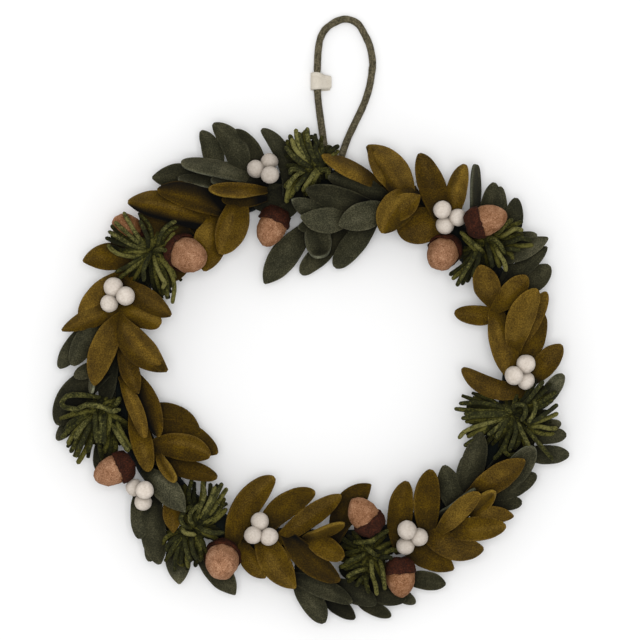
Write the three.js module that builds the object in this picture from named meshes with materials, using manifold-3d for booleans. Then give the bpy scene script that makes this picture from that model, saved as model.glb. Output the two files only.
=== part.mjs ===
// A felt wreath lying on its back: a felt-covered ring dressed with sprigs of felt leaves,
// yarn pom-poms, felted acorns and bunches of felt berries, with a felted cord to hang it by.
// Millimetres, +Z up. +Y is the top of the wreath, where the cord is. The origin is on the
// surface under the middle of the wreath.
import * as THREE from "three";
import { mergeVertices } from "three/addons/utils/BufferGeometryUtils.js";
import Module from "manifold-3d";

// Driving dimensions
const GAP = 0.3; // clearance between pieces that touch
const LEAF_GAP = 0.5; // clearance round the leaves, whose faces lie at all angles
const FELT = 2.2; // thickness of the leaf felt
const LAYER_PITCH = 2.8; // from one layer of leaves to the next

const RING_MIDDLE = [0.75, 7.5]; // centre of the ring in x and y
const RING_RADII = [148.5, 148, 139, 133.5, 134, 143, 146, 143, 143, 138, 148, 153]; // every 30 degrees
const RING_THICK = 11.8; // radius of the ring's section
const RING_SIDES = 8;
const RING_STEPS = 36;

const BED_ROUND = 18; // how wide the leaves lie level over the ring
const BED_SLOPE = 0.35; // how steeply they fall away beside it

const STEM_WIDTH = 4.5;
const STALK_WIDTH = 3.4; // where a leaf's foot reaches over to the stem
// Outline of a leaf: share of its length, share of its width, share of the climb to its layer
const LEAF_OUTLINE = [[0, 0.38, 0.16], [0.28, 0.95, 1], [0.7, 0.97, 1], [1, 0.34, 1]];
const STEM_LAYER = -0.4; // the stem lies under the feet of the leaves

const NUT_RADIUS = 11.4;
const NUT_LENGTH = 27;
const CAP_RADIUS = 13.8;
const CAP_RIM = 9; // how far the cap comes up the nut
const ACORN_SIDES = 10;

const LOOP_RADIUS = 2.9; // felted cord
const LABEL_LENGTH = 12; // along the cord
const LABEL_FLAG = 10.5; // free end beside the cord
const LABEL_THICK = 1.2;

const OLIVE = 0x6a5722;
const MOSS = 0x454a3c;
const RING_FELT = 0x262e2a;
const YARN = 0x4d5630;
const CORD = 0x4c4c3e;
const TAPE = 0xe9e2d2;
const NUT_FELT = 0xbd8f72;
const CAP_FELT = 0x4d2318;
const BERRY_FELT = 0xe6ded6;

// Leaves, one row each: base x, base y, tip x, tip y, width, bow, layer, roll, cup.
// The bow is how far the middle of the leaf swings to the left of the way from base to tip. The
// roll turns the leaf up on its edge, and the cup folds it along its midrib (minus: a ridge).
// The stem is the strip that the leaves of one sprig grow from, glued along the ring.
const SPRIGS = [
  {
    name: "sprig_moss_top",
    felt: MOSS,
    stem: [[62, 129], [45, 124], [27, 117], [9, 110], [-4, 106]],
    leaves: [
      [58.5, 129, 13.5, 146, 16, -2, 1, 0, 0],
      [42, 126, -3, 137, 18, 0, 3, 0, 0],
      [28, 118, -11, 116, 18, 2.5, 4, 0, 0],
      [19, 117, -13.5, 127.5, 13, 0, 2, 0, 0],
      [20, 113, -9, 108, 12, 0, 2, 0, 0],
      [58, 121, 21.5, 109.5, 21, 0, 5, 0, 0],
      [47, 114, 18.5, 79, 18, 0, 1, 0, 0],
      [24, 106, -7, 74, 16, 0, 0, 0, 0],
      [-4, 106, -34.5, 66.5, 20.5, 0, 1, 0, 0],
      [9, 110, 6, 85, 18, 0, 3, 0, 20],
    ],
  },
  {
    name: "sprig_olive_top_right",
    felt: OLIVE,
    stem: [[50, 141], [70, 131], [86, 121], [100, 114], [113, 113]],
    leaves: [
      [70.5, 131, 45, 169.5, 24, -2.5, 3, 0, -32],
      [48, 143, 8.5, 162, 15, -0.5, 2, 45, 0],
      [96, 115, 81.5, 163.5, 20.5, 0, 2, 0, 0],
      [79, 128, 54, 104.5, 20.5, -4, 5, 0, -12],
      [99, 117, 65, 107, 21, 4, 1, 0, 0],
      [112, 115, 115.5, 155.5, 16, 0, 3, -38, 0],
    ],
  },
  {
    name: "sprig_moss_top_right",
    felt: MOSS,
    stem: [[124, 110], [134, 100], [145, 88], [149, 72], [143, 56]],
    leaves: [
      [124, 116, 124.5, 156, 16, 0, 2, 62, 0],
      [135, 105, 138, 142, 15, 0, 2, 0, 0],
      [142, 102, 143, 139.5, 12, 0, 1, 0, 0],
      [151, 97, 154.5, 130.5, 14, 0, 1, 0, 0],
      [145, 97, 170, 102, 10.5, 0, 2, 0, 0],
      [146, 84, 178.5, 100.5, 12, 0, 3, 0, 0],
      [148.5, 69, 178, 95, 13.5, 0, 1, 0, 0],
      [150, 63, 179.5, 80, 19, -3.5, 0, 0, 0],
      [143, 56, 152, 82, 11, 0, 0, 0, 0],
    ],
  },
  {
    name: "sprig_olive_right",
    felt: OLIVE,
    stem: [[137, 51], [141, 42], [149, 24], [157, 6], [162, -12]],
    leaves: [
      [137, 52, 126.5, 80, 20, 0, 3, 0, 0],
      [142, 43, 108.5, 45, 15, 1.5, 1, 0, 0],
      [138, 43, 148, -1, 20, 0, 2, 0, 20],
      [160, -14, 114, 1.5, 17, 5, 2, 0, 0],
      [140, 48, 162, 71.5, 17, 0, 3, 0, 0],
      [153, 18, 169.5, 61.5, 20.5, 4, 5, 0, 0],
      [158, 22, 177, 60, 14, 0, 3, 0, 0],
      [159, 6, 174, 44.5, 20, 0, 1, 0, 0],
      [166, -6, 188.5, 20.5, 18, 0, 1, 0, 0],
    ],
  },
  {
    name: "sprig_moss_right_outer",
    felt: MOSS,
    stem: [[131, -83], [146, -86], [156, -68], [164, -49], [174, -28]],
    leaves: [
      [146, -86, 167.5, -56, 19, 0, 3, 0, 0],
      [136, -93, 169.5, -76.5, 16, -1, 1, 0, 0],
      [136, -98, 159, -98, 12, 0, 0, 0, 0],
      [161, -62, 194.5, -62, 14.5, 0, 1, 0, 0],
      [165, -48, 192, -47, 13, 0, 2, 0, 0],
      [169, -44, 188.5, -38, 10, 0, 1, 0, 0],
      [176, -24, 190, -1.5, 11, 0, 1, 0, 0],
    ],
  },
  {
    name: "sprig_moss_right_inner",
    felt: MOSS,
    stem: [[99, -107], [107, -99], [114, -90]],
    leaves: [
      [108, -104, 100.5, -69, 17, 0, 1, 0, 0],
      [115, -91, 128, -45, 17, 0, 2, 0, 0],
      [114, -93, 117, -62, 12, 0, 1, 0, 0],
      [100, -106, 123.5, -87, 12, 0, 4, 70, 0],
    ],
  },
  {
    name: "sprig_olive_bottom_right",
    felt: OLIVE,
    stem: [[68, -131], [86, -121], [104, -117], [120, -105], [124, -95]],
    leaves: [
      [67, -130, 73, -82, 19, 2.5, 1, 0, 0],
      [88, -120, 91, -73, 20, 2, 2, 0, 0],
      [71, -133, 109, -148, 19, 0, 1, 0, 0],
      [88, -121, 130, -132, 20, -4.5, 2, 0, 0],
      [105, -119, 146.5, -115, 19, 0, 3, 0, 0],
      [99, -117, 126.5, -89.5, 16, 0, 6, 0, 0],
      [122, -91, 160, -65, 20, 0, 5, 0, 0],
      [123, -105, 137.5, -89, 14, 0, 5, 30, 35],
      [121, -105, 152.5, -107.5, 12.5, 0, 4, 0, 0],
    ],
  },
  {
    name: "sprig_moss_bottom",
    felt: MOSS,
    stem: [[-6, -136], [-10, -152], [10, -163], [40, -166], [71, -157]],
    leaves: [
      [-9, -153, 10.5, -188.5, 18, 0, 1, 0, 0],
      [10, -168, 34, -185.5, 13, 0, 0, 0, 0],
      [-12, -156, 32.5, -172.5, 15, 0, 3, 0, 0],
      [22, -162, 49.5, -174, 14, 0, 2, 0, 0],
      [35, -171, 61, -184.5, 11, 0, 0, 0, 0],
      [42, -165, 71.5, -171.5, 17, 0, 1, 0, 0],
      [62, -164, 79.5, -174, 10, 0, 0, 0, 0],
      [73, -156, 103, -158.5, 13.5, 0, 0, 0, 0],
    ],
  },
  {
    name: "sprig_olive_bottom",
    felt: OLIVE,
    stem: [[-57, -127], [-35, -122], [-18, -124], [0, -125], [19, -121]],
    leaves: [
      [-58, -127, -26.5, -79.5, 21, 6, 1, 0, 0],
      [-36, -121, 4, -90.5, 19, 5.5, 1, 0, 0],
      [-22, -125, 23.5, -92.5, 16, 0.5, 2, 0, 0],
      [20, -121, 46, -84.5, 20, 3.5, 1, 0, 0],
      [-1.5, -124.5, 26, -113, 15, 0, 5, 58, 0],
      [-1, -124.5, 25, -138, 16, 0, 4, 0, 0],
      [-17, -123, 22.5, -155.5, 19, -3.3, 3, 0, 0],
      [-32, -123, -9.5, -162, 19.5, -4, 2, 0, 0],
      [-51, -129, -33, -154, 13.5, -2, 1, 0, 0],
    ],
  },
  {
    name: "sprig_moss_bottom_left",
    felt: MOSS,
    stem: [[-121, -72], [-119, -90], [-112, -108], [-99, -126], [-82, -138]],
    leaves: [
      [-121, -75, -91.5, -104.5, 18, -1.5, 4, 0, 0],
      [-127, -88.5, -127.5, -125, 15, 0, 1, 0, 0],
      [-117, -94, -113.5, -144.5, 20, -1.5, 2, 0, 0],
      [-117, -114, -120.5, -142.5, 11, 0, 1, 0, 0],
      [-99, -129, -97, -159.5, 17, 0, 1, 0, 0],
      [-81, -140, -56, -167.5, 18, 0, 0, 0, 0],
    ],
  },
  {
    name: "sprig_olive_left_lower",
    felt: OLIVE,
    stem: [[-122, -44], [-116, -58], [-109, -76], [-104, -92]],
    leaves: [
      [-118, -32, -82, -48, 18, 0, 0, 0, 0],
      [-115, -42, -69.5, -61.5, 18, 0, 1, 0, 0],
      [-116, -54, -75, -64, 20, 3.5, 4, 0, 0],
      [-112, -67, -69.5, -79, 14.5, 0, 2, 0, 0],
      [-113, -62, -100.5, -82, 12, 0, 5, 25, 0],
      [-104, -92, -102.5, -120, 14, 0, 3, 0, 0],
    ],
  },
  {
    name: "sprig_olive_left_middle",
    felt: OLIVE,
    stem: [[-142, 37], [-140, 15], [-137, -10], [-130, -30]],
    leaves: [
      [-142, 40, -160.5, -10, 20, -4, 4, 0, 0],
      [-143, 38, -107, 0, 21, -3, 5, 0, -15],
      [-140, 19, -128, -17.5, 14, -2.5, 3, 0, 0],
      [-140, -8, -123, -49, 14, 0, 3, -35, 0],
      [-132, -30, -120, -74, 16, 0, 2, 0, 0],
      [-129, -2, -114, -49, 17, 1, 1, 0, 25],
    ],
  },
  {
    name: "sprig_moss_left",
    felt: MOSS,
    stem: [[-151, 35], [-149, 10], [-148, -18], [-150, -40]],
    leaves: [
      [-165, 36, -188.5, 3.5, 14, 0, 0, 0, 0],
      [-158, 40, -178, 4, 18, -1.5, 1, 0, 0],
      [-156, -1, -190, -40, 21, -5.5, 1, 0, 0],
      [-158, 5, -177, -3.5, 11, 0, 0, 0, 0],
      [-164, 14, -163.5, -16, 13, 0, 2, 68, 0],
      [-172, -28, -190.5, -51.5, 11.5, 0, 0, 0, 0],
      [-151, -43, -158.5, -76, 15, 0, 0, 0, 0],
    ],
  },
  {
    name: "sprig_olive_left_upper",
    felt: OLIVE,
    stem: [[-130, 84], [-136, 69], [-142, 49]],
    leaves: [
      [-130, 85, -170.5, 84, 17, -1, 1, 0, 0],
      [-138, 72, -172.5, 41, 23, 0, 1, 0, 0],
      [-142, 48, -186, 30.5, 14, 0, 2, 0, 0],
      [-138, 65, -103.5, 43, 18, 1.5, 3, 0, -18],
      [-145, 46, -113, 34, 14.5, 3, 2, 0, 0],
    ],
  },
  {
    name: "sprig_olive_top_left",
    felt: OLIVE,
    stem: [[-31, 130], [-50, 127], [-66, 120], [-80, 111], [-92, 101]],
    leaves: [
      [-30, 135, -75, 136, 15, 0, 5, 42, 0],
      [-65, 122, -115, 135, 18.5, -3.5, 4, 0, 0],
      [-81, 112, -136, 126, 21, -2.5, 3, 0, 0],
      [-93, 101, -125, 120, 17, 0, 2, 0, 0],
      [-77, 115, -77, 75, 20, 0, 2, 0, 0],
      [-53, 128, -67.5, 88.5, 22, 1.5, 3, 0, 0],
      [-89, 105, -103, 68, 17, 0, 1, 0, 0],
      [-36, 130, -66, 129, 13, 0, 2, 0, 0],
    ],
  },
  {
    name: "sprig_moss_top_left",
    felt: MOSS,
    stem: [[-16, 138], [-32, 140], [-50, 140], [-68, 141], [-82, 142]],
    leaves: [
      [-72, 147, -82, 181.5, 14.5, -3, 1, 0, 0],
      [-52, 144, -73, 186.5, 18, -6.5, 2, 0, 0],
      [-36, 144, -57, 181.5, 20, -1, 1, 0, 0],
      [-17, 139, -36.5, 182, 13, -7, 1, 0, 0],
      [-43, 144, -97, 157, 14, -1.5, 3, 48, 0],
      [-56, 141, -99, 145, 13, 0, 2, 45, 0],
      [-29, 140, -74, 144, 13, 0, 3, 45, 0],
      [-81, 142, -118.5, 145.5, 15, 0, 1, 0, 0],
    ],
  },
];

// Bunches of three felt balls, one row each: x, y, radius, the layer they sit on, extra height.
const BERRIES = [
  [[99, 121.5, 6.8, 2, 1], [110.5, 115.5, 6.6, 2, 0], [101, 110, 6.7, 1, -1]],
  [[161.5, 6, 7.1, 1, 2], [152.5, -2.5, 7.1, 2, 1], [161.5, -6.5, 6.8, 1, -1]],
  [[72.5, -118, 7.2, 2, 1], [81.5, -123.5, 6.9, 1, 0], [71.5, -130, 6.8, 1, -1]],
  [[-37.5, -112, 6.9, 1, 0], [-42.5, -122, 6.8, 1, 1], [-30.5, -123, 6.8, 1, 1]],
  [[-123.5, -88, 6.8, 2, 3], [-125, -97, 6.6, 1, 0], [-131.5, -86.5, 6.6, 1, 0]],
  [[-147, 63.5, 7.2, 2, 1], [-138, 57, 7.1, 2, 3], [-150, 51.5, 6.8, 2, 1]],
  [[-40.5, 152, 6.7, 1, 1], [-30.5, 157.5, 6.6, 1, 0], [-30, 147.5, 6.7, 2, 1]],
];

// Acorns, one row each: middle of the nut x, y, height above the surface, and the way that
// its tip points in x, y and z.
const ACORNS = [
  [100, 88.5, 31, -0.4, -0.35, 0.85],
  [134, 116, 40, 0.95, 0.28, 0.12],
  [68, -157.5, 29, 0.06, -1, 0.05],
  [39.5, -105.5, 36, -0.6, 0.78, 0.2],
  [-66, -143, 33, -0.05, -0.5, 0.86],
  [-149, -74.5, 31, -0.92, -0.36, 0.15],
  [-89.5, 87, 36, 0.5, -0.15, 0.85],
  [-136.5, 108, 24, -0.65, 0.7, 0.3],
  [-29.5, 107.5, 22, -0.38, -0.9, 0.2],
];

// Pom-poms of thick yarn, one row each: x, y, middle height, reach in x, in y and in z.
const POMPOMS = [
  [-122, 86, 33, 31, 34, 11],
  [135.5, 90, 33, 31, 26, 11],
  [148, -35, 33, 36, 30, 11],
  [43, -142, 33, 23, 24, 11],
  [-85, -113, 33, 23, 34, 11],
  [-160, -42, 29, 26, 27, 11],
  [1.5, 155, 33, 19.5, 28, 12],
];

// Route of the hanging cord, x, y and z, from one end at the ring to the other.
const LOOP_ROUTE = [
  [14.3, 151, 13], [12.6, 160, 9], [10.6, 172, 4.6], [8, 190, 2.9], [6, 206, 3.8], [5.3, 219, 4.7],
  [5.5, 230, 4.2], [6.3, 244, 2.9], [8.6, 254, 2.9], [14.5, 261.5, 2.9], [25.5, 266.5, 2.9],
  [35.5, 263.5, 2.9], [41.2, 255, 2.9], [45.2, 246, 2.9], [47.2, 235, 2.9], [46.9, 228, 2.9],
  [44.8, 215, 2.9], [40.6, 202, 2.9], [34, 188, 2.9], [28.2, 175.5, 4.6], [23.6, 162, 9], [20.6, 151, 13],
];
const LABEL_AT = [5.4, 219.5, 4.7];
const LABEL_TURN = -3; // degrees, about the surface's normal

const wasm = await Module();
wasm.setup();

function solidOf(geometry) {
  const bare = geometry.index ? geometry.toNonIndexed() : geometry.clone();
  bare.deleteAttribute("normal");
  bare.deleteAttribute("uv");
  const merged = mergeVertices(bare, 1e-4);
  return new wasm.Manifold(new wasm.Mesh({
    numProp: 3,
    vertProperties: new Float32Array(merged.attributes.position.array),
    triVerts: new Uint32Array(merged.index.array),
  }));
}

function geometryOf(solid) {
  const mesh = solid.getMesh();
  const geometry = new THREE.BufferGeometry();
  geometry.setAttribute("position", new THREE.BufferAttribute(mesh.vertProperties, 3));
  geometry.setIndex(new THREE.BufferAttribute(mesh.triVerts, 1));
  return geometry;
}

// The largest body of a mesh, without the scraps that a neighbour cuts free
function mainBody(geometry) {
  const corners = geometry.index.array;
  const leader = Array.from({ length: geometry.attributes.position.count }, (_, vertex) => vertex);
  const find = (vertex) => {
    let root = vertex;
    while (leader[root] !== root) root = leader[root];
    leader[vertex] = root;
    return root;
  };
  for (let i = 0; i < corners.length; i += 3) {
    leader[find(corners[i + 1])] = find(corners[i]);
    leader[find(corners[i + 2])] = find(corners[i]);
  }
  const bodies = new Map();
  for (let i = 0; i < corners.length; i += 3) {
    const body = find(corners[i]);
    if (!bodies.has(body)) bodies.set(body, []);
    bodies.get(body).push(corners[i], corners[i + 1], corners[i + 2]);
  }
  const largest = [...bodies.values()].reduce((best, body) => (body.length > best.length ? body : best));
  const kept = new THREE.BufferGeometry();
  kept.setAttribute("position", geometry.attributes.position);
  kept.setIndex(largest);
  return mergeVertices(kept.toNonIndexed(), 1e-4);
}

// Radius of the ring's centre line at an angle, a smooth closed curve through the table
function ringRadius(angle) {
  const count = RING_RADII.length;
  const place = ((angle / (2 * Math.PI)) * count + 2 * count) % count;
  const start = Math.floor(place);
  const t = place - start;
  const [a, b, c, d] = [-1, 0, 1, 2].map((step) => RING_RADII[(start + step + count) % count]);
  return b + 0.5 * t * (c - a + t * (2 * a - 5 * b + 4 * c - d + t * (3 * (b - c) + d - a)));
}

function distanceFromRing(x, y) {
  const dx = x - RING_MIDDLE[0];
  const dy = y - RING_MIDDLE[1];
  return Math.hypot(dx, dy) - ringRadius(Math.atan2(dy, dx));
}

const RING_HALF_HEIGHT = RING_THICK * Math.cos(Math.PI / RING_SIDES);
const RING_TOP = 2 * RING_HALF_HEIGHT;

// Height of the middle of the felt, for a leaf in a layer: level over the ring, lower beside it
function bedHeight(x, y, layer) {
  const away = distanceFromRing(x, y);
  const fall = BED_SLOPE * (Math.hypot(away, BED_ROUND) - BED_ROUND);
  return RING_TOP + GAP + FELT / 2 + (layer - STEM_LAYER) * LAYER_PITCH - fall;
}

// A closed strip of felt. Each station has a middle point in plan, a side direction, half a
// width, a layer, a roll and a cup. The grow value widens and thickens the strip all round.
function feltStrip(stations, grow = 0) {
  const columns = stations.some((station) => station.cup) ? 2 : 1;
  const geometry = new THREE.BoxGeometry(1, 1, 1, stations.length - 1, columns, 1);
  const position = geometry.attributes.position;
  for (let i = 0; i < position.count; i += 1) {
    const step = Math.round((position.getX(i) + 0.5) * (stations.length - 1));
    const station = stations[step];
    const side = position.getY(i) * 2;
    const half = station.half + grow;
    const lean = side * half * Math.sin(station.roll) + half * Math.tan(station.cup) * (Math.abs(side) - 0.5);
    const flat = side * half * Math.cos(station.roll);
    const thick = position.getZ(i) * (FELT + 2 * grow);
    const end = step === 0 ? -grow : step === stations.length - 1 ? grow : 0;
    const x = station.x + station.sideX * (flat - thick * Math.sin(station.roll)) + station.sideY * end;
    const y = station.y + station.sideY * (flat - thick * Math.sin(station.roll)) - station.sideX * end;
    const level = bedHeight(station.x + station.sideX * flat, station.y + station.sideY * flat, station.layer);
    position.setXYZ(i, x, y, level + lean + thick * Math.cos(station.roll));
  }
  return solidOf(geometry);
}

function nearestOnStem(stemCurve, x, y) {
  const target = new THREE.Vector3(x, y, 0);
  const points = stemCurve.getPoints(60);
  return points.reduce((best, point) => (point.distanceTo(target) < best.distanceTo(target) ? point : best));
}

function leafSolid(leaf, stemCurve, grow) {
  const [baseX, baseY, tipX, tipY, width, bow, layer, rollDegrees, cupDegrees] = leaf;
  const length = Math.hypot(tipX - baseX, tipY - baseY);
  const alongX = (tipX - baseX) / length;
  const alongY = (tipY - baseY) / length;
  const stations = LEAF_OUTLINE.map(([s, share, climb]) => {
    const swing = bow * 4 * s * (1 - s);
    const turn = Math.atan2(bow * 4 * (1 - 2 * s), length);
    return {
      x: baseX + alongX * length * s - alongY * swing,
      y: baseY + alongY * length * s + alongX * swing,
      sideX: -alongY * Math.cos(turn) - alongX * Math.sin(turn),
      sideY: alongX * Math.cos(turn) - alongY * Math.sin(turn),
      half: (width / 2) * share,
      layer: layer * climb,
      roll: THREE.MathUtils.degToRad(rollDegrees) * climb,
      cup: THREE.MathUtils.degToRad(cupDegrees) * climb,
    };
  });
  const foot = nearestOnStem(stemCurve, baseX, baseY);
  const reach = Math.hypot(baseX - foot.x, baseY - foot.y);
  if (reach > STALK_WIDTH / 2) {
    const sideX = -(baseY - foot.y) / reach;
    const sideY = (baseX - foot.x) / reach;
    const stalk = [foot, { x: baseX + (sideY * STALK_WIDTH) / 2, y: baseY - (sideX * STALK_WIDTH) / 2 }].map((end) => ({
      x: end.x, y: end.y, sideX, sideY, half: STALK_WIDTH / 2, layer: stations[0].layer, roll: 0, cup: 0,
    }));
    return feltStrip(stations, grow).add(feltStrip(stalk, grow));
  }
  return feltStrip(stations, grow);
}

function stemSolid(stemCurve, steps, grow) {
  const stations = stemCurve.getPoints(steps).map((point, index) => {
    const tangent = stemCurve.getTangent(index / steps);
    return {
      x: point.x, y: point.y, sideX: -tangent.y, sideY: tangent.x,
      half: STEM_WIDTH / 2, layer: STEM_LAYER, roll: 0, cup: 0,
    };
  });
  return feltStrip(stations, grow);
}

function sprigSolid(sprig, grow = 0) {
  const points = sprig.stem.map(([x, y]) => new THREE.Vector3(x, y, 0));
  const stemCurve = new THREE.CatmullRomCurve3(points);
  const leaves = sprig.leaves.map((leaf) => leafSolid(leaf, stemCurve, grow));
  return leaves.reduce((all, leaf) => all.add(leaf), stemSolid(stemCurve, points.length - 1, grow));
}

function ringSolid(grow = 0) {
  const geometry = new THREE.TorusGeometry(1, 0.5, RING_SIDES, RING_STEPS);
  const position = geometry.attributes.position;
  for (let i = 0; i < position.count; i += 1) {
    const x = position.getX(i);
    const y = position.getY(i);
    const angle = Math.atan2(y, x);
    // the section is turned by half a side, so that it lies on a flat
    const round = Math.atan2(position.getZ(i), Math.hypot(x, y) - 1) + Math.PI / RING_SIDES;
    const radius = ringRadius(angle) + Math.cos(round) * (RING_THICK + grow);
    position.setXYZ(
      i,
      RING_MIDDLE[0] + radius * Math.cos(angle),
      RING_MIDDLE[1] + radius * Math.sin(angle),
      RING_HALF_HEIGHT + Math.sin(round) * (RING_THICK + grow),
    );
  }
  return solidOf(geometry);
}

// Turns a piece made along +Y so that it points another way, and moves it into place
function placed(geometry, at, direction) {
  const way = new THREE.Vector3(...direction).normalize();
  const turn = new THREE.Quaternion().setFromUnitVectors(new THREE.Vector3(0, 1, 0), way);
  return geometry.applyQuaternion(turn).translate(...at);
}

// Section of the nut, from the foot inside the cap to the tip: share of radius, share of length
const NUT_PROFILE = [[0, 0], [0.65, 0], [0.97, 0.22], [1, 0.5], [0.78, 0.78], [0.32, 0.97], [0, 1]];

function nutSolid([x, y, z, ...direction], grow = 0) {
  const points = NUT_PROFILE.map(([r, h]) => new THREE.Vector2(
    r * NUT_RADIUS + (r > 0 ? grow : 0),
    (h - 0.5) * (NUT_LENGTH + 2 * grow),
  ));
  return solidOf(placed(new THREE.LatheGeometry(points, ACORN_SIDES), [x, y, z], direction));
}

// The cap is a bowl round the foot of the nut
function capSolid([x, y, z, ...direction], grow = 0) {
  const foot = -NUT_LENGTH / 2;
  const outside = [[0, -5], [0.5, -4.2], [0.92, 1]].map(([share, height]) => new THREE.Vector2(
    share * CAP_RADIUS + (share > 0 ? grow : 0),
    foot + height - grow,
  ));
  const rim = [
    new THREE.Vector2(CAP_RADIUS + grow, foot + CAP_RIM + grow),
    new THREE.Vector2(NUT_RADIUS + GAP - grow, foot + CAP_RIM + grow),
  ];
  const inside = NUT_PROFILE.slice(1, 3).reverse().map(([r, h]) => new THREE.Vector2(
    r * NUT_RADIUS + GAP - grow,
    foot + h * NUT_LENGTH - (h > 0 ? 0 : GAP) + grow,
  ));
  const points = [...outside, ...rim, ...inside, new THREE.Vector2(0, foot - GAP + grow)];
  return solidOf(placed(new THREE.LatheGeometry(points, ACORN_SIDES), [x, y, z], direction));
}

function bunchSolid(balls, grow = 0) {
  return balls
    .map(([x, y, radius, layer, extra]) => {
      const ball = new THREE.SphereGeometry(radius + grow, 8, 5);
      ball.translate(x, y, bedHeight(x, y, layer) + FELT / 2 + radius * 0.6 + extra);
      return solidOf(ball);
    })
    .reduce((all, ball) => all.add(ball));
}

// A pom-pom's outer form: a flattened ball whose edge is notched where the yarn parts
const TUFTS = 8;
function pompomSolid([x, y, z, reachX, reachY, reachZ], grow = 0) {
  const ball = new THREE.SphereGeometry(1, 2 * TUFTS, 4);
  const position = ball.attributes.position;
  for (let i = 0; i < position.count; i += 1) {
    const angle = Math.atan2(position.getZ(i), position.getX(i));
    const rim = Math.hypot(position.getX(i), position.getZ(i));
    const notch = 1 - 0.09 * rim * (1 - Math.cos(TUFTS * angle));
    position.setXYZ(
      i,
      x + position.getX(i) * (reachX + grow) * notch,
      y - position.getZ(i) * (reachY + grow) * notch,
      z + position.getY(i) * (reachZ + grow),
    );
  }
  return solidOf(ball);
}

function loopSolid(grow = 0) {
  const curve = new THREE.CatmullRomCurve3(LOOP_ROUTE.map((point) => new THREE.Vector3(...point)));
  const section = new THREE.Shape();
  for (let i = 0; i < 8; i += 1) {
    const angle = (i / 8) * 2 * Math.PI + Math.PI / 8;
    const radius = LOOP_RADIUS + grow;
    section[i === 0 ? "moveTo" : "lineTo"](radius * Math.cos(angle), radius * Math.sin(angle));
  }
  section.closePath();
  return solidOf(new THREE.ExtrudeGeometry(section, { steps: 36, bevelEnabled: false, extrudePath: curve }));
}

// The tape label: wrapped round the cord, its two layers sewn flat beside it
function labelSolid() {
  const inner = LOOP_RADIUS + LEAF_GAP;
  const outer = inner + LABEL_THICK;
  const shape = new THREE.Shape();
  const opening = Math.asin(LABEL_THICK / outer);
  shape.absarc(0, 0, outer, opening, 2 * Math.PI - opening, false);
  shape.lineTo(outer + LABEL_FLAG, -LABEL_THICK);
  shape.lineTo(outer + LABEL_FLAG, LABEL_THICK);
  shape.closePath();
  const hole = new THREE.Path();
  hole.absarc(0, 0, inner, 0, 2 * Math.PI, true);
  shape.holes.push(hole);
  const tape = new THREE.ExtrudeGeometry(shape, { depth: LABEL_LENGTH, bevelEnabled: false, curveSegments: 7 });
  tape.translate(0, 0, -LABEL_LENGTH / 2);
  tape.rotateX(Math.PI / 2);
  tape.rotateZ(THREE.MathUtils.degToRad(LABEL_TURN));
  tape.translate(...LABEL_AT);
  return solidOf(tape);
}

const wreath = new THREE.Group();
const finished = []; // a grown copy of each piece already in place, which later pieces keep clear of

function addPiece(name, solid, grown, color) {
  const material = new THREE.MeshStandardMaterial({ color, roughness: 0.95, metalness: 0 });
  const mesh = new THREE.Mesh(mainBody(geometryOf(solid)), material);
  mesh.name = name;
  wreath.add(mesh);
  if (grown) finished.push({ name, grown, box: boxOf(grown) });
}

function boxOf(solid) {
  return new THREE.Box3().setFromBufferAttribute(geometryOf(solid).attributes.position);
}

function clearOf(solid, skip = []) {
  const box = boxOf(solid);
  const near = finished.filter((piece) => !skip.includes(piece.name) && piece.box.intersectsBox(box));
  return near.reduce((rest, piece) => rest.subtract(piece.grown), solid);
}

addPiece("ring_core", ringSolid(), ringSolid(GAP), RING_FELT);
const loop = clearOf(loopSolid());
addPiece("hanging_cord", loop, loopSolid(GAP), CORD);
addPiece("label_tape", labelSolid(), null, TAPE);

ACORNS.forEach((row, index) => {
  addPiece(`acorn_nut_${index + 1}`, clearOf(nutSolid(row)), nutSolid(row, GAP), NUT_FELT);
});
ACORNS.forEach((row, index) => {
  const own = [`acorn_nut_${index + 1}`];
  addPiece(`acorn_cap_${index + 1}`, clearOf(capSolid(row), own), capSolid(row, GAP), CAP_FELT);
});
BERRIES.forEach((row, index) => {
  addPiece(`berry_bunch_${index + 1}`, clearOf(bunchSolid(row)), bunchSolid(row, GAP), BERRY_FELT);
});
SPRIGS.forEach((sprig) => {
  addPiece(sprig.name, clearOf(sprigSolid(sprig)), sprigSolid(sprig, LEAF_GAP), sprig.felt);
});
POMPOMS.forEach((row, index) => {
  addPiece(`pompom_${index + 1}`, clearOf(pompomSolid(row)), null, YARN);
});

export default wreath;
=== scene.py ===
# A felt wreath lying on its back on a pale surface, seen from straight above: a felt-covered
# ring with sprigs of felt leaves, yarn pom-poms, felted acorns and berries, and a cord to hang it.
import math
import random

import bpy
import numpy as np
from mathutils import Matrix, Vector, noise


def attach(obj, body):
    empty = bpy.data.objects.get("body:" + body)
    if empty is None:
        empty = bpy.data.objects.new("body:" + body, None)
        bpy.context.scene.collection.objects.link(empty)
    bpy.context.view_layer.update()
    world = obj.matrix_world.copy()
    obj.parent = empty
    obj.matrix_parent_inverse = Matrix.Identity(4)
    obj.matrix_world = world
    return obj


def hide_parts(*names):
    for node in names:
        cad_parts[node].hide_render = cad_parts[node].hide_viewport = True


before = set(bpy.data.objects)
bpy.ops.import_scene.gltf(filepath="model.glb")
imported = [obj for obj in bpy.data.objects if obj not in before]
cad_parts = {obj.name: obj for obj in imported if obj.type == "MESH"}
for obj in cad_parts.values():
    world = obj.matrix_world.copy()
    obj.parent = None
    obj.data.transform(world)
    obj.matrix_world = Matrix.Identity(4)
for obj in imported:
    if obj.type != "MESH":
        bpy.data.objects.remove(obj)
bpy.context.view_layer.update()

# Camera: a long lens straight above the wreath. The picture is 640 pixels wide and each pixel
# covers 0.75 mm at the height of the leaves. The wreath's origin shows at pixel (310, 372).
MM = 0.001
PIXEL = 0.75 * MM
PICTURE_SIDE = 640
ORIGIN_ACROSS = 310
ORIGIN_DOWN = 372
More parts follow.
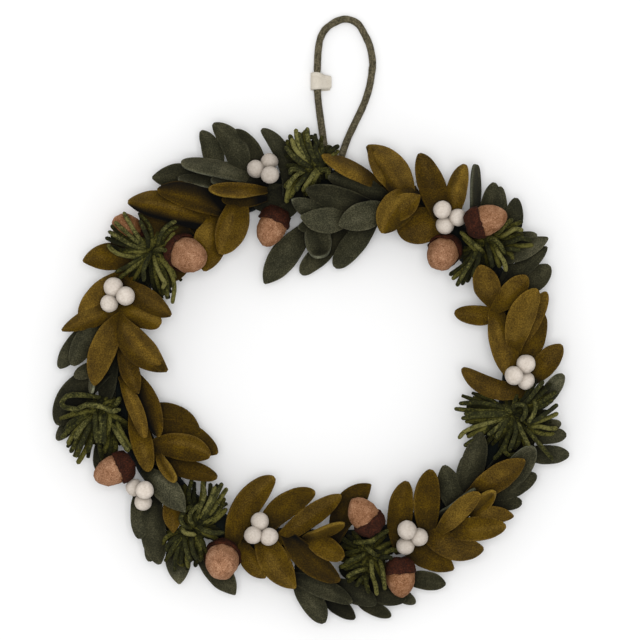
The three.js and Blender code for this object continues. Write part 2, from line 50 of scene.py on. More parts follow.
LEAF_LEVEL = 25 * MM
LENS = 200.0
SENSOR = 36.0
camera_data = bpy.data.cameras.new("camera")
camera_data.lens = LENS
camera_data.sensor_width = SENSOR
camera_data.clip_start = 0.1
camera_data.clip_end = 50.0
camera = bpy.data.objects.new("camera", camera_data)
bpy.context.collection.objects.link(camera)
camera.location = (
    (PICTURE_SIDE / 2 - ORIGIN_ACROSS) * PIXEL,
    (ORIGIN_DOWN - PICTURE_SIDE / 2) * PIXEL,
    LEAF_LEVEL + PICTURE_SIDE * PIXEL * LENS / SENSOR,
)
bpy.context.scene.camera = camera

# Hanging cord: one length of wool roving felted into a round cord, grey-green with brown and
# moss fibres. Both ends are tucked in under the trimming at the top of the ring.
CORD_DIAMETER = 5.6 * MM
CORD_STEPS = 6
CORD_MEAN = 0.95
CORD_UNEVEN = 0.12
CORD_LUMP_START = 3.1
CORD_LUMP_STEP = 0.34
CORD_ROUTE = [
    (14.3, 151, 13), (12.6, 160, 9), (10.6, 172, 4.6), (8, 190, 2.9), (6, 206, 3.8), (5.3, 219, 4.7),
    (5.5, 230, 4.2), (6.3, 244, 2.9), (8.6, 254, 2.9), (14.5, 261.5, 2.9), (25.5, 266.5, 2.9),
    (35.5, 263.5, 2.9), (41.2, 255, 2.9), (45.2, 246, 2.9), (47.2, 235, 2.9), (46.9, 228, 2.9),
    (44.8, 215, 2.9), (40.6, 202, 2.9), (34, 188, 2.9), (28.2, 175.5, 4.6), (23.6, 162, 9), (20.6, 151, 13),
]


def linear(colour):
    """A hex colour as Blender's linear numbers."""
    channels = [int(colour[i:i + 2], 16) / 255 for i in (1, 3, 5)]
    return [c / 12.92 if c <= 0.04045 else ((c + 0.055) / 1.055) ** 2.4 for c in channels] + [1.0]


def add_node(material, kind, links, values, **settings):
    """Adds a node with its settings. links and values go by input: a socket to join, a value to set."""
    node = material.node_tree.nodes.new(kind)
    for name, setting in settings.items():
        setattr(node, name, setting)
    for socket, value in values.items():
        node.inputs[socket].default_value = value
    for socket, source in links.items():
        material.node_tree.links.new(source, node.inputs[socket])
    return node


# how much the broader shading counts, how much fuller in colour shaded wool is, the fibres' relief
BROAD_SHARE = 0.4
SHADE_DEEPENS = 0.35
FIBRE_RELIEF = 0.6 * MM


def wool_material(name, colours, grain, patch=9.0, flecks=0.7, spread=0.0, bump=0.3, swirl=0.0):
    """Felted or spun wool: matt, with loose fibres that catch the light at the rim. colours are
    dark, middle and light; grain and patch are the sizes in mm of the fibre flecks and of the
    broader shading, flecks how strong the flecks are, spread how much one leaf or strand differs
    from the next, and swirl how much the fibres curl. The points' tone, which holds painted light
    and shade as well as the wool's own tone, makes it lighter or darker."""
    material = bpy.data.materials.new(name)
    material.use_nodes = True
    material.node_tree.nodes.clear()
    place = {"Vector": add_node(material, "ShaderNodeTexCoord", {}, {}).outputs["Object"]}
    fine = add_node(material, "ShaderNodeTexNoise", place, {
        "Scale": 1000 / grain, "Detail": 3.0, "Roughness": 0.6, "Distortion": swirl}).outputs["Fac"]
    broad = add_node(material, "ShaderNodeTexNoise", place, {
        "Scale": 1000 / patch, "Detail": 2.0}).outputs["Fac"]
    island = add_node(material, "ShaderNodeNewGeometry", {}, {}).outputs["Random Per Island"]
    shares = ((fine, flecks), (broad, BROAD_SHARE), (island, spread))
    middle = 0.5 - 0.5 * sum(share for source, share in shares)
    mixed = {}
    for source, share in shares:
        part = add_node(material, "ShaderNodeMath", {0: source, **mixed}, {1: share, 2: middle},
                        operation="MULTIPLY_ADD")
        mixed = {2: part.outputs[0]}
    ramp = add_node(material, "ShaderNodeValToRGB", {"Fac": mixed[2]}, {})
    stops = ramp.color_ramp.elements
    stops[0].position = 0.3
    stops[1].position = 0.7
    stops.new(0.5)
    for stop, colour in zip(sorted(stops, key=lambda one: one.position), colours):
        stop.color = linear(colour)
    tone = add_node(material, "ShaderNodeAttribute", {}, {}, attribute_name="tone").outputs["Fac"]
    value = add_node(material, "ShaderNodeMath", {0: tone}, {1: 1.0}, operation="ADD")
    shaded = add_node(material, "ShaderNodeMath", {0: tone}, {1: 0.0}, operation="MINIMUM")
    deeper = add_node(material, "ShaderNodeMath", {0: shaded.outputs[0]}, {1: -SHADE_DEEPENS, 2: 1.0},
                      operation="MULTIPLY_ADD")
    toned = add_node(material, "ShaderNodeHueSaturation", {
        "Color": ramp.outputs["Color"], "Value": value.outputs[0], "Saturation": deeper.outputs[0]}, {})
    relief = add_node(material, "ShaderNodeBump", {"Height": fine}, {
        "Strength": bump, "Distance": FIBRE_RELIEF})
    shader = add_node(material, "ShaderNodeBsdfPrincipled", {
        "Base Color": toned.outputs["Color"], "Normal": relief.outputs["Normal"]}, {
        "Roughness": 0.95, "Specular IOR Level": 0.15, "Sheen Weight": 0.12, "Sheen Roughness": 0.4,
        "Sheen Tint": linear(colours[2])})
    add_node(material, "ShaderNodeOutputMaterial", {"Surface": shader.outputs["BSDF"]}, {})
    return material


def between(a, b, c, d, t):
    """A place a share t of the way from b to c, on a smooth line through all four."""
    return b + 0.5 * t * (c - a + t * (2 * a - 5 * b + 4 * c - d + t * (3 * (b - c) + d - a)))


def smooth_route(points, steps):
    """A smooth line through the points, several steps between each pair."""
    points = [Vector(p) for p in points]
    points = [points[0] * 2 - points[1]] + points + [points[-1] * 2 - points[-2]]
    route = []
    for four in zip(points, points[1:], points[2:], points[3:]):
        route += [between(*four, step / steps) for step in range(steps)]
    return route + [points[-2]]


def select_only(*pieces):
    """Selects these pieces alone, the first of them active, or nothing."""
    bpy.ops.object.select_all(action="DESELECT")
    for piece in pieces:
        piece.select_set(True)
    bpy.context.view_layer.objects.active = pieces[0] if pieces else None


def shade_smooth(piece):
    """Shades every face of the piece smooth."""
    for polygon in piece.data.polygons:
        polygon.use_smooth = True


def round_strands(name, lines, radius, roundness):
    """Round strands along lines of (place, share of the radius), as one mesh."""
    curve = bpy.data.curves.new(name, "CURVE")
    curve.dimensions = "3D"
    curve.bevel_depth = radius
    curve.bevel_resolution = roundness
    curve.use_fill_caps = True
    for line in lines:
        spline = curve.splines.new("POLY")
        spline.points.add(len(line) - 1)
        for point, (place, share) in zip(spline.points, line):
            point.co = (*place, 1.0)
            point.radius = share
    made = bpy.data.objects.new(name, curve)
    bpy.context.collection.objects.link(made)
    select_only(made)
    bpy.ops.object.convert(target="MESH")
    made = bpy.context.object
    shade_smooth(made)
    return made


# roving mixed from moss, brown and grey wool, so close up it is heathered in long fibres
cord_wool = wool_material("felted_wool_cord", ["#302c20", "#4e4836", "#706853"], 1.4, patch=5.0, flecks=1.0)
cord_line = smooth_route([Vector(p) * MM for p in CORD_ROUTE], CORD_STEPS)
cord_thickness = [
    CORD_MEAN + CORD_UNEVEN * noise.noise(Vector((0, 0, CORD_LUMP_START + CORD_LUMP_STEP * i)))
    for i in range(len(cord_line))
]
cord = round_strands("felted_cord", [list(zip(cord_line, cord_thickness))], CORD_DIAMETER / 2, 4)
cord.data.materials.append(cord_wool)
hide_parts("hanging_cord")
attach(cord, "root")

# Label: a short piece of cream cotton tape folded round the left leg of the cord, its two ends
# pressed together beside it. It is left bare. A row goes from the front end round the cord to the
# back end: x, height, the middle's y, half the tape's width there.
TAPE_THICK = 0.5
TAPE_STEPS = 4
TAPE_ROWS = 6
TAPE_SECTION = [
    (16.1, 2.6, 218.8, 3.4), (15.4, 3.0, 218.8, 4.7), (12.8, 4.1, 218.8, 5.1), (10.2, 5.8, 219, 5.5),
    (8, 7.6, 219.4, 6.1), (5.4, 8.5, 219.6, 6.5), (2.8, 7.9, 219.5, 6.6), (1.1, 6.1, 219.3, 6.4),
    (0.7, 3.8, 219.2, 6.3), (1.7, 1.9, 219, 6.3), (4.8, 0.9, 218.9, 6.4), (8.6, 0.8, 218.5, 6.2),
    (12.4, 0.9, 218.2, 5.8), (15.2, 1.2, 218, 5.2),
]
tape_path = smooth_route([(x, 0, z) for x, z, middle, half in TAPE_SECTION], TAPE_STEPS)
tape_reach = smooth_route([(middle, half, 0) for x, z, middle, half in TAPE_SECTION], TAPE_STEPS)
select_only()
bpy.ops.mesh.primitive_grid_add(x_subdivisions=len(tape_path) - 1, y_subdivisions=TAPE_ROWS, size=2)
tape = bpy.context.object
tape.name = "folded_tape"
for vertex in tape.data.vertices:
    step = round((vertex.co.x + 1) / 2 * (len(tape_path) - 1))
    middle, half, _ = tape_reach[step]
    vertex.co = Vector((tape_path[step].x, middle + half * vertex.co.y, tape_path[step].z)) * MM
shade_smooth(tape)
thickened = tape.modifiers.new("tape", "SOLIDIFY")
thickened.thickness = TAPE_THICK * MM
thickened.offset = 0.0
bpy.ops.object.modifier_apply(modifier="tape")
# plain woven cotton, whose threads show only as a fine even grain at this distance
tape.data.materials.append(
    wool_material("cream_cotton_tape", ["#b8b0a1", "#c9c1b3", "#d5cec1"], 0.7, patch=4, flecks=0.5, bump=0.2))
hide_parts("label_tape")
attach(tape, "root")

# Ring: a wadding ring bound with a strip of very dark green felt, each turn lapping the last. It
# shows between the leaves and is seen whole from the back. The radii are those of its centre line
# at equal angles, from the right and round by the top.
RING_MIDDLE = (0.75, 7.5)
RING_RADII = [156, 148, 139, 133.5, 134, 143, 146, 143, 143, 138, 148, 153]
RING_THICK = 11.6
RING_HEIGHT = 10.9
RING_FOOT = 0.02
RING_SIDES = 28
WRAP_TURNS = 34
STEPS_A_TURN = 14
WRAP_STEP = 0.7
WADDING_UNEVEN = 0.35
WADDING_LUMPS = 9


def ring_radius(angle):
    """Radius of the ring's centre line at an angle, a smooth closed curve through the table."""
    count = len(RING_RADII)
    place = (angle / (2 * math.pi) * count) % count
    start = math.floor(place)
    return between(*(RING_RADII[(start + step) % count] for step in (-1, 0, 1, 2)), place - start)


select_only()
bpy.ops.mesh.primitive_torus_add(major_segments=WRAP_TURNS * STEPS_A_TURN, minor_segments=RING_SIDES,
                                 major_radius=1.0, minor_radius=0.5)
ring = bpy.context.object
ring.name = "covered_ring"
for vertex in ring.data.vertices:
    x, y, z = vertex.co
    angle = math.atan2(y, x)
    section = math.atan2(z, math.hypot(x, y) - 1)
    lap = (WRAP_TURNS * angle + section) / (2 * math.pi) % 1.0
    thick = RING_THICK - WRAP_STEP * lap + WADDING_UNEVEN * noise.noise(vertex.co * WADDING_LUMPS)
    radius = ring_radius(angle) + thick * math.cos(section)
    vertex.co = Vector((
        RING_MIDDLE[0] + radius * math.cos(angle),
        RING_MIDDLE[1] + radius * math.sin(angle),
        max(RING_HEIGHT + thick * math.sin(section), RING_FOOT),
    )) * MM
shade_smooth(ring)
# thin wool felt pulled tight, nearly black in the shade of the leaves
ring.data.materials.append(wool_material("ring_felt", ["#0e1211", "#171d1b", "#252c28"], 1.2))
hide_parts("ring_core")
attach(ring, "root")

# Sprigs: die-cut leaves of 2.2 mm wool felt, pinched at the foot and glued one over the other on
# a strip of felt along the ring. Lengths here are in mm, angles in degrees, and places along and
# across a leaf are shares of its length and of its half width.
FELT = 2.2
FELT_LOFT = 1.15
LAYER_PITCH = 2.8
STEM_LAYER = -0.4
RING_TOP = 21.8
BED_GAP = 0.3
BED_ROUND = 18
BED_SLOPE = 0.35
STRIP_HALF = 2.2
STRIP_STEPS = 5
FOOT_REACH = 0.14
FOOT_WIDTH = 0.36
FOOT_SWELL = 0.6
FOOT_CLIMB = 0.38
FOOT_LAYER = 0.05
FOOT_STACK = 0.16
FOOT_PINCH = 34
LEAST_HALF = 0.35
RAGGED = 0.09
CUP_STRENGTH = 0.85
CREASE_ROUND = 0.008
BUCKLE = 1.5
BUCKLE_SIZE = 14
LIFT_FROM = 0.2
CURL_FROM = 0.78
# the leaves' painted light and shade: a lighter half, a lighter ridge and darker trough, a paler edge (partly
# its fibres, partly a painted highlight) and a darker foot
HALF_PAINTED_SHADE = 1.5
FOLD_PAINTED_LIGHT_AND_SHADE = 1 / 95
FOLD_PAINTED_WIDTH = 0.2
EDGE_PALER_AND_HIGHLIGHT = 0.42
EDGE_FROM = 0.9
TIP_FROM = 0.97
FOOT_PAINTED_SHADE = 0.45
FOOT_PAINTED_SHADE_LENGTH = 0.4
LEAF_NUMBERS = 15
LEAF_ROWS = [-0.14, -0.05, 0.05, 0.16, 0.28, 0.4, 0.52, 0.64, 0.75, 0.84, 0.91, 0.96, 0.99, 1.0]
LEAF_COLUMNS = [-1.0, -0.92, -0.8, -0.5, -0.25, 0.0, 0.25, 0.5, 0.8, 0.92, 1.0]
# A sprig: its felt, the points of its strip, then its leaves. A leaf: base x, base y, its tip's x
# and y from there, width, bow, layer, cup (a trough, or below 0 a ridge), how pointed the tip is,
# the tip's lift, the leaf's tone (partly the felt's own, partly painted shade), how much lighter
# its left half is painted (painted shade), the fold's place across, roll, and the curl of its end.
# Zeros at the end of a leaf's row are left out.
SPRIGS = {
    "sprig_moss_top": ("moss", [(62, 129), (45, 124), (27, 117), (9, 110), (-4, 106)], [
        (58.5, 129, -45, 17, 16, -2, 1, -22, 0.55, 4, -0.5, -0.2, -0.1),
        (42, 126, -45, 11, 18, 1.5, 3, -18, 0.6, 7, -0.6, 0, 0.1),
        (30, 117, -37, 0, 19, 3.5, 4, -26, 0.85, 9, 0.1, 0.1, 0.2),
        (16, 114, -29.5, 14.5, 15, 0, 3, -20, 0.7, 7, 0.08, 0, 0, 0, 4),
        (20, 113, -29, -5, 12, 0, 2, 0, 0.55, 4, -0.35),
        (58, 121, -36.5, -11.5, 21, -1.5, 5, -14, 0.75, 8, -0.1, 0.05, 0.1),
        (47, 114, -28.5, -35, 18, 0, 1, -12, 0.45, 5, -0.12, 0.08),
        (24, 106, -31, -32, 16, 0, 0, -10, 0.45, 4, -0.25, 0.05),
        (-4, 106, -30.5, -39.5, 21.5, -1, 1, -14, 0.8, 6, -0.18),
        (4, 112, 4, -26, 20, 0, 3, 18, 0.36, 5, -0.15, -0.1, 0, 0, 9),
    ]),
    "sprig_olive_top_right": ("olive", [(50, 141), (70, 131), (86, 121), (100, 114), (113, 113)], [
        (72, 130, -29.5, 39, 24, -4.5, 3, -48, 0.9, 6, 0.14, -0.65, 0.2),
        (61, 138, -16.5, 30, 10, 2, 4.2, -20, 0.7, 6.5, -0.12, 0.3),
        (48, 142, -39.5, 20, 16, -0.5, 2, -24, 0.75, 7, 0.4, 0, 0.3, 35),
        (98, 115, -16.5, 48.5, 21, -1.5, 2, -16, 0.6, 6, -0.08, -0.08, 0.1),
        (77, 133, -22.5, -29, 25, -3, 5, -40, 0.72, 8, -0.28, -0.3, -0.25),
        (57, 115, 25, 17, 18, 0, 5.8, -14, 0.95, 3, -0.1, 0.1),
        (99, 119, -33.5, -11, 27, 4, 1, -12, 0.55, 5, 0.15, 0.1, 0.2),
        (107, 116, 9, 39, 17, 1.5, 3, -40, 0.55, 7, 0.14, 0, 0.05, -30),
    ]),
    "sprig_moss_top_right": ("moss", [(124, 110), (134, 100), (145, 88), (149, 72), (143, 56)], [
        (124, 116, 0.5, 40, 16, 0, 2, 14, 0.4, 5, -0.25, -0.15, 0, 62),
        (133, 105, 5, 37, 16, 0, 2, -18, 0.6, 6, -0.2, -0.1, 0.2),
        (142, 102, 1, 37.5, 12, 0, 1, 10, 0.55, 4, 0.4, -0.1),
        (151, 97, 3.5, 33.5, 14, 0, 1, -10, 0.5, 6, -0.1),
        (145, 97, 25, 5, 10.5, 0, 2, -16, 0.4, 6, 0.3),
        (146, 84, 32.5, 16.5, 13, 0, 3, -24, 0.85, 8, 0, -0.15),
        (148.5, 69, 29.5, 25, 13, 0, 1, -18, 0.8, 6, -0.28, -0.1),
        (150, 63, 29.5, 17, 19, -3.5, 0, -12, 0.5, 5, -0.35),
        (143, 56, 9, 26, 11, 0, 0, 0, 0.55, 4, -0.4),
    ]),
    "sprig_olive_right": ("olive", [(137, 51), (141, 42), (149, 24), (157, 6), (162, -12)], [
        (137, 52, -10.5, 28, 20, 0, 3, -16, 0.7, 7, 0.1),
        (142, 43, -33.5, 2, 15, 1.5, 1, -10, 0.55, 5, -0.08),
        (139, 44, 9, -47, 21, 2, 2, -34, 0.7, 5, 0.2, -0.15, -0.25),
        (160, -14, -45.5, 17, 15.5, 6.5, 2, -26, 0.6, 5, 0.2, 0.12, 0.1),
        (140, 48, 22, 23.5, 17, 0, 3, -10, 0.5, 6, 0.02),
        (153, 18, 16.5, 43.5, 20.5, 4, 5, -24, 0.55, 7, 0.18, 0.08, 0.1),
        (158, 22, 19, 38, 14, 0, 3, 12, 0.5, 6, 0.7),
        (159, 6, 15, 38.5, 20, 0, 1, -20, 0.6, 5, -0.18, 0.1),
        (166, -6, 22.5, 26.5, 18, 0, 1, -14, 0.6, 6, 0.02),
    ]),
    "sprig_moss_right_outer": ("moss", [(131, -83), (146, -86), (156, -68), (164, -49), (174, -28)], [
        (146, -86, 21.5, 30, 19, 0, 3, 16, 0.5, 6, 0.08, 0, -0.2),
        (136, -93, 33.5, 16.5, 16, -1, 1, -10, 0.5, 5, -0.32),
        (136, -98, 23, 0, 12, 0, 0, -8, 0.45, 5, -0.3),
        (161, -62, 33.5, 0, 14.5, 0, 1, -10, 0.5, 5, 0.15),
        (165, -48, 27, 1, 13, 0, 2, -10, 0.5, 6, -0.33),
        (169, -44, 19.5, 6, 10, 0, 1, 0, 0.5, 4, 0.4),
        (172, -26, 17.5, 24.5, 12.5, 0, 1, -12, 0.42, 6, 0.7),
        (138, -72, 30, 22, 15, 0, -0.3, 0, 0.5, 0, -0.64),
    ]),
    "sprig_moss_right_inner": ("moss", [(99, -107), (107, -99), (114, -90)], [
        (110, -104, -9.5, 34, 18, 0, 1, -16, 0.65, 5, -0.28),
        (115, -91, 13, 46, 18, -1, 2, -22, 0.6, 5, -0.48, 0.14, 0.2),
        (114, -93, 3, 31, 12, 0, 1, 0, 0.55, 4, -0.08),
        (100, -106, 23.5, 19, 12, 0, 4, 0, 0.55, 4, -0.2, 0, 0, 70),
    ]),
    "sprig_olive_bottom_right": ("olive", [(68, -131), (86, -121), (104, -117), (120, -105), (124, -95)], [
        (67, -130, 6, 48, 19, 2.5, 1, -12, 0.52, 6, -0.12, 0.08, 0.1),
        (88, -120, 3, 47, 20, 2, 2, -12, 0.52, 6, -0.25, 0.05),
        (71, -131, 37, -17, 20, 1, 0, -14, 0.75, 6, -0.25, -0.05),
        (88, -121, 42, -11, 20, -4.5, 2, -12, 0.6, 6, 0.15, 0, -0.1),
        (105, -119, 41.5, 4, 19, 0, 3.6, -12, 0.6, 6, -0.08),
        (98, -118, 28, 28.5, 14.5, 1, 6, -20, 0.5, 6, 0.12, -0.08, -0.2),
        (122, -91, 38, 26, 20, 0, 5, -18, 0.75, 8, 0, 0.1),
        (123, -105, 14.5, 16, 14, 0, 5, 40, 0.55, 5, 0.05, 0, 0, 32, 4),
        (121, -105, 31.5, -2.5, 12.5, 0, 4, -12, 0.7, 6, 0.25, 0.1),
    ]),
    "sprig_moss_bottom": ("moss", [(-6, -136), (-10, -152), (10, -163), (40, -166), (71, -157)], [
        (-9, -153, 19.5, -35.5, 19, 0, 1, -18, 0.55, 6, -0.16, 0, 0.1),
        (10, -168, 24, -17.5, 13, 0, 0, -8, 0.6, 4, -0.75),
        (-12, -154, 43.5, -18.5, 15, 1.5, 3, -18, 0.6, 6, -0.5, -0.08),
        (16, -160, 33.5, -14, 17, 1.5, 2, -16, 0.6, 5, -0.42, -0.05),
        (35, -171, 26, -13.5, 11, 0, 0, 0, 0.55, 4, -0.53),
        (42, -163, 29.5, -8.5, 18, 1, 1, -16, 0.6, 5, -0.58, -0.05),
        (62, -164, 17.5, -10, 10, 0, 0, 0, 0.55, 4, 0.3),
        (73, -155, 29, -4, 14.5, 0, 0, -14, 0.65, 6, -0.5),
        (60, -156, -38, 9, 19, 0, -0.3, 0, 0.5, 0, -0.66),
    ]),
    "sprig_olive_bottom": ("olive", [(-57, -127), (-35, -122), (-18, -124), (0, -125), (19, -121)], [
        (-58, -127, 31.5, 47.5, 21, 6, 1, -14, 0.5, 7, -0.1, 0.08, 0.1),
        (-36, -121, 40, 30.5, 19, 5.5, 1, -12, 0.5, 6, -0.33, 0.1, 0.1),
        (-22, -125, 45.5, 32.5, 16, 0.5, 2, -18, 0.6, 6, 0.04, 0.05, 0.1),
        (20, -121, 26, 36.5, 21, 4.5, 1, -12, 0.8, 6, -0.22),
        (-1.5, -124.5, 27.5, 11.5, 15, 0, 5, 14, 0.55, 6, -0.12, 0, 0, 56),
        (-1, -124.5, 26, -13.5, 16, 0, 4, -12, 0.42, 6, -0.2, -0.1),
        (-17, -123, 39.5, -32.5, 19, -3.3, 3, -20, 0.6, 7, -0.6, -0.12, 0.2),
        (-35, -122, 24.5, -39.5, 23, -3.5, 2, -22, 0.85, 6, -0.08, -0.05, -0.1),
        (-50, -130, 17, -24, 15, -2, 1, -14, 0.75, 5, 0, -0.05),
    ]),
    "sprig_moss_bottom_left": ("moss", [(-121, -72), (-119, -90), (-112, -108), (-99, -126), (-82, -138)], [
        (-121, -76, 28, -28, 19, 1.5, 4, -30, 1, 7, 0.12, 0.15, 0.2),
        (-127, -88.5, -0.5, -36.5, 15, 0, 1, -10, 0.5, 5, -0.05),
        (-117, -94, 4.5, -50, 20, -3, 2, -16, 0.6, 6, -0.4, -0.12, 0.1),
        (-117, -114, -3.5, -28.5, 11, 0, 1, 0, 0.5, 4, 0.4),
        (-100, -127, 2, -32.5, 19, 0, 1, -22, 1, 5, 0.4),
        (-81, -140, 25, -27.5, 19, 1.5, 0, -14, 0.95, 5, -0.22),
    ]),
    "sprig_olive_left_lower": ("olive", [(-122, -44), (-116, -58), (-109, -76), (-104, -92)], [
        (-119, -28, 36, -18.5, 19, 2, 0, -12, 0.75, 5, -0.42),
        (-115, -40, 45.5, -21.5, 20, 2, 1, -12, 0.65, 5, -0.25, 0.05),
        (-116, -55, 41, -8, 20, 3, 4, -30, 0.6, 6, -0.25, 0.12, 0.25),
        (-112, -67, 42.5, -12, 14.5, 0, 2, -12, 0.5, 6, -0.1),
        (-113, -62, 12.5, -19, 10, -1, 5, 40, 0.4, 7, 0.08, 0, 0, 25),
        (-103, -92, 1, -28, 15, 0, 3, -14, 1.05, 4, -0.05),
    ]),
    "sprig_olive_left_middle": ("olive", [(-142, 37), (-140, 15), (-137, -10), (-130, -30)], [
        (-142, 40, -18.5, -50, 20, -4, 4, -14, 0.7, 6, 0.15, -0.1, -0.1),
        (-143, 38, 36.5, -37, 22, -3.5, 5, -52, 1, 6, 0.08, 0.25, 0.2),
        (-117.5, 9.5, 10, -9, 6.5, 0, 7.3, 0, 0.9, 5, -0.5),
        (-140, 19, 12, -35, 14.5, -1, 3, -20, 0.85, 6, -0.12, 0.12, -0.1),
        (-139.5, -8, 16.5, -40.5, 10.5, 1, 4, -40, 0.5, 6, 0.15, 0.1, 0.1),
        (-132, -30, 12, -44, 16, 0, 2, -14, 0.5, 6, 0, -0.05),
        (-131, -4, 17.5, -44.5, 16, 2, 2, -24, 0.6, 5, -0.65, 0.4, 0.55),
    ]),
    "sprig_moss_left": ("moss", [(-151, 35), (-149, 10), (-148, -18), (-150, -40)], [
        (-165, 36, -23.5, -33, 15, 0, 0, -14, 0.55, 4),
        (-157, 40, -20.5, -35, 17, -1.5, 2, -18, 0.5, 7, -0.35, -0.08, -0.2),
        (-156, -1, -33, -39, 23, -5.5, 1, -14, 0.5, 4, -0.45),
        (-149, 24, -5, -48, 16, 0, 0, 14, 0.5, 3, -0.5),
        (-158, 5, -19, -8.5, 11, 0, 1.6, 0, 0.5, 4, -0.1),
        (-164, 14, 0.5, -30, 13, 0, 2, 0, 0.5, 4, 0.9, 0, 0, 66),
        (-172, -28, -18.5, -23.5, 11.5, 0, 0, 0, 0.5, 4, 0.7),
        (-151, -43, -7.5, -33, 15, 0, 0, 0, 0.55, 4, -0.4),
    ]),
    "sprig_olive_left_upper": ("olive", [(-130, 84), (-136, 69), (-142, 49)], [
        (-130, 84, -40.5, -1, 21, -3, 1, -18, 0.9, 6, -0.08, -0.1, 0.1),
        (-138, 72, -34.5, -31, 23, 0, 1, -10, 0.55, 5, 0.85),
        (-142, 48, -44, -17, 15, -1, 2, -32, 0.95, 6, 0.05, -0.25),
        (-138, 65, 34, -22.5, 18, -1, 3, -40, 0.85, 6, 0.02, 0.15, 0.2),
        (-145, 45, 32.5, -9.5, 17, 2, 2, -24, 0.32, 6, 0, 0.1, 0.2),
    ]),
    "sprig_olive_top_left": ("olive", [(-31, 130), (-50, 127), (-66, 120), (-80, 111), (-92, 101)], [
        (-37, 136, -38, 1, 12.5, 0.5, 6.3, 30, 0.5, 7, 0.1, 0, -0.2, 20),
        (-65, 121, -49, 15, 20, -3.5, 4, -30, 0.7, 7, -0.72, 0.2, 0.2),
        (-78, 112, -58, 15, 23, -4, 3, -46, 0.7, 8, -0.35, -0.62, 0.1),
        (-90, 99, -36, 19, 22, 0, 2, -10, 0.7, 4, -0.55),
        (-71, 116, -8, -40.5, 25, 0, 2, -22, 0.9, 5, 0.4, 0, -0.2),
        (-53, 128, -14, -39.5, 23, 1.5, 3, -36, 0.7, 6, -0.05, 0.12, -0.35),
        (-89, 105, -14, -37, 17, 0, 1, 0, 0.55, 4, -0.3),
        (-36, 130, -30, -1, 13, 0, 2, 0, 0.55, 4, -0.72),
    ]),
    "sprig_moss_top_left": ("moss", [(-16, 138), (-32, 140), (-50, 140), (-68, 141), (-82, 142)], [
        (-72, 144, -10, 37, 15.5, -4.5, 1, -14, 0.6, 6, -0.28, -0.1),
        (-52, 144, -21, 42, 19, -7, 2, -14, 0.6, 6, -0.36, -0.08),
        (-36, 144, -21, 37.5, 20, -1, 1, -10, 0.5, 5, -0.66, -0.06),
        (-17, 139, -19.5, 43, 13, -7, 1, -12, 0.5, 6, -0.1, -0.08),
        (-43, 145, -53.5, 11.5, 16.5, -1.5, 3, -14, 0.42, 7, 0.04, 0, 0, 38),
        (-56, 141, -43, 4, 13, 0, 2, 10, 0.5, 6, -0.2, 0, 0, 42),
        (-38, 141, -36, 3, 13, 0, 3, 16, 0.4, 6, -0.52, 0, 0, 42),
        (-78, 148, -40.5, -2.5, 20, 0, 1, -14, 0.85, 6, -0.45),
        (-14, 136, -28, -12, 17, 0, -0.3, 0, 0.5, 0, -0.65),
        (-6, 138, -14, -22, 14, 0, -0.3, 0, 0.5, 0, -0.35),
    ]),
}


def bed_height(x, y, layer):
    """Height in mm of the middle of the felt in a layer: level over the ring, lower beside it."""
    dx = x - RING_MIDDLE[0]
    dy = y - RING_MIDDLE[1]
    away = math.hypot(dx, dy) - ring_radius(math.atan2(dy, dx))
    fall = BED_SLOPE * (math.hypot(away, BED_ROUND) - BED_ROUND)
    return RING_TOP + BED_GAP + FELT / 2 + (layer - STEM_LAYER) * LAYER_PITCH - fall


def leaf_half(s, point):
    """Half width of a leaf, as a share of its greatest: a pinched foot and a round tip."""
    if s < 0.5:
        swell = math.sin(math.pi / 2 * min(max(s + FOOT_REACH, 0) / FOOT_SWELL, 1)) ** 1.1
        return FOOT_WIDTH + (1 - FOOT_WIDTH) * swell
    return max(1 - ((s - 0.5) / 0.5) ** 2, 0.0) ** point


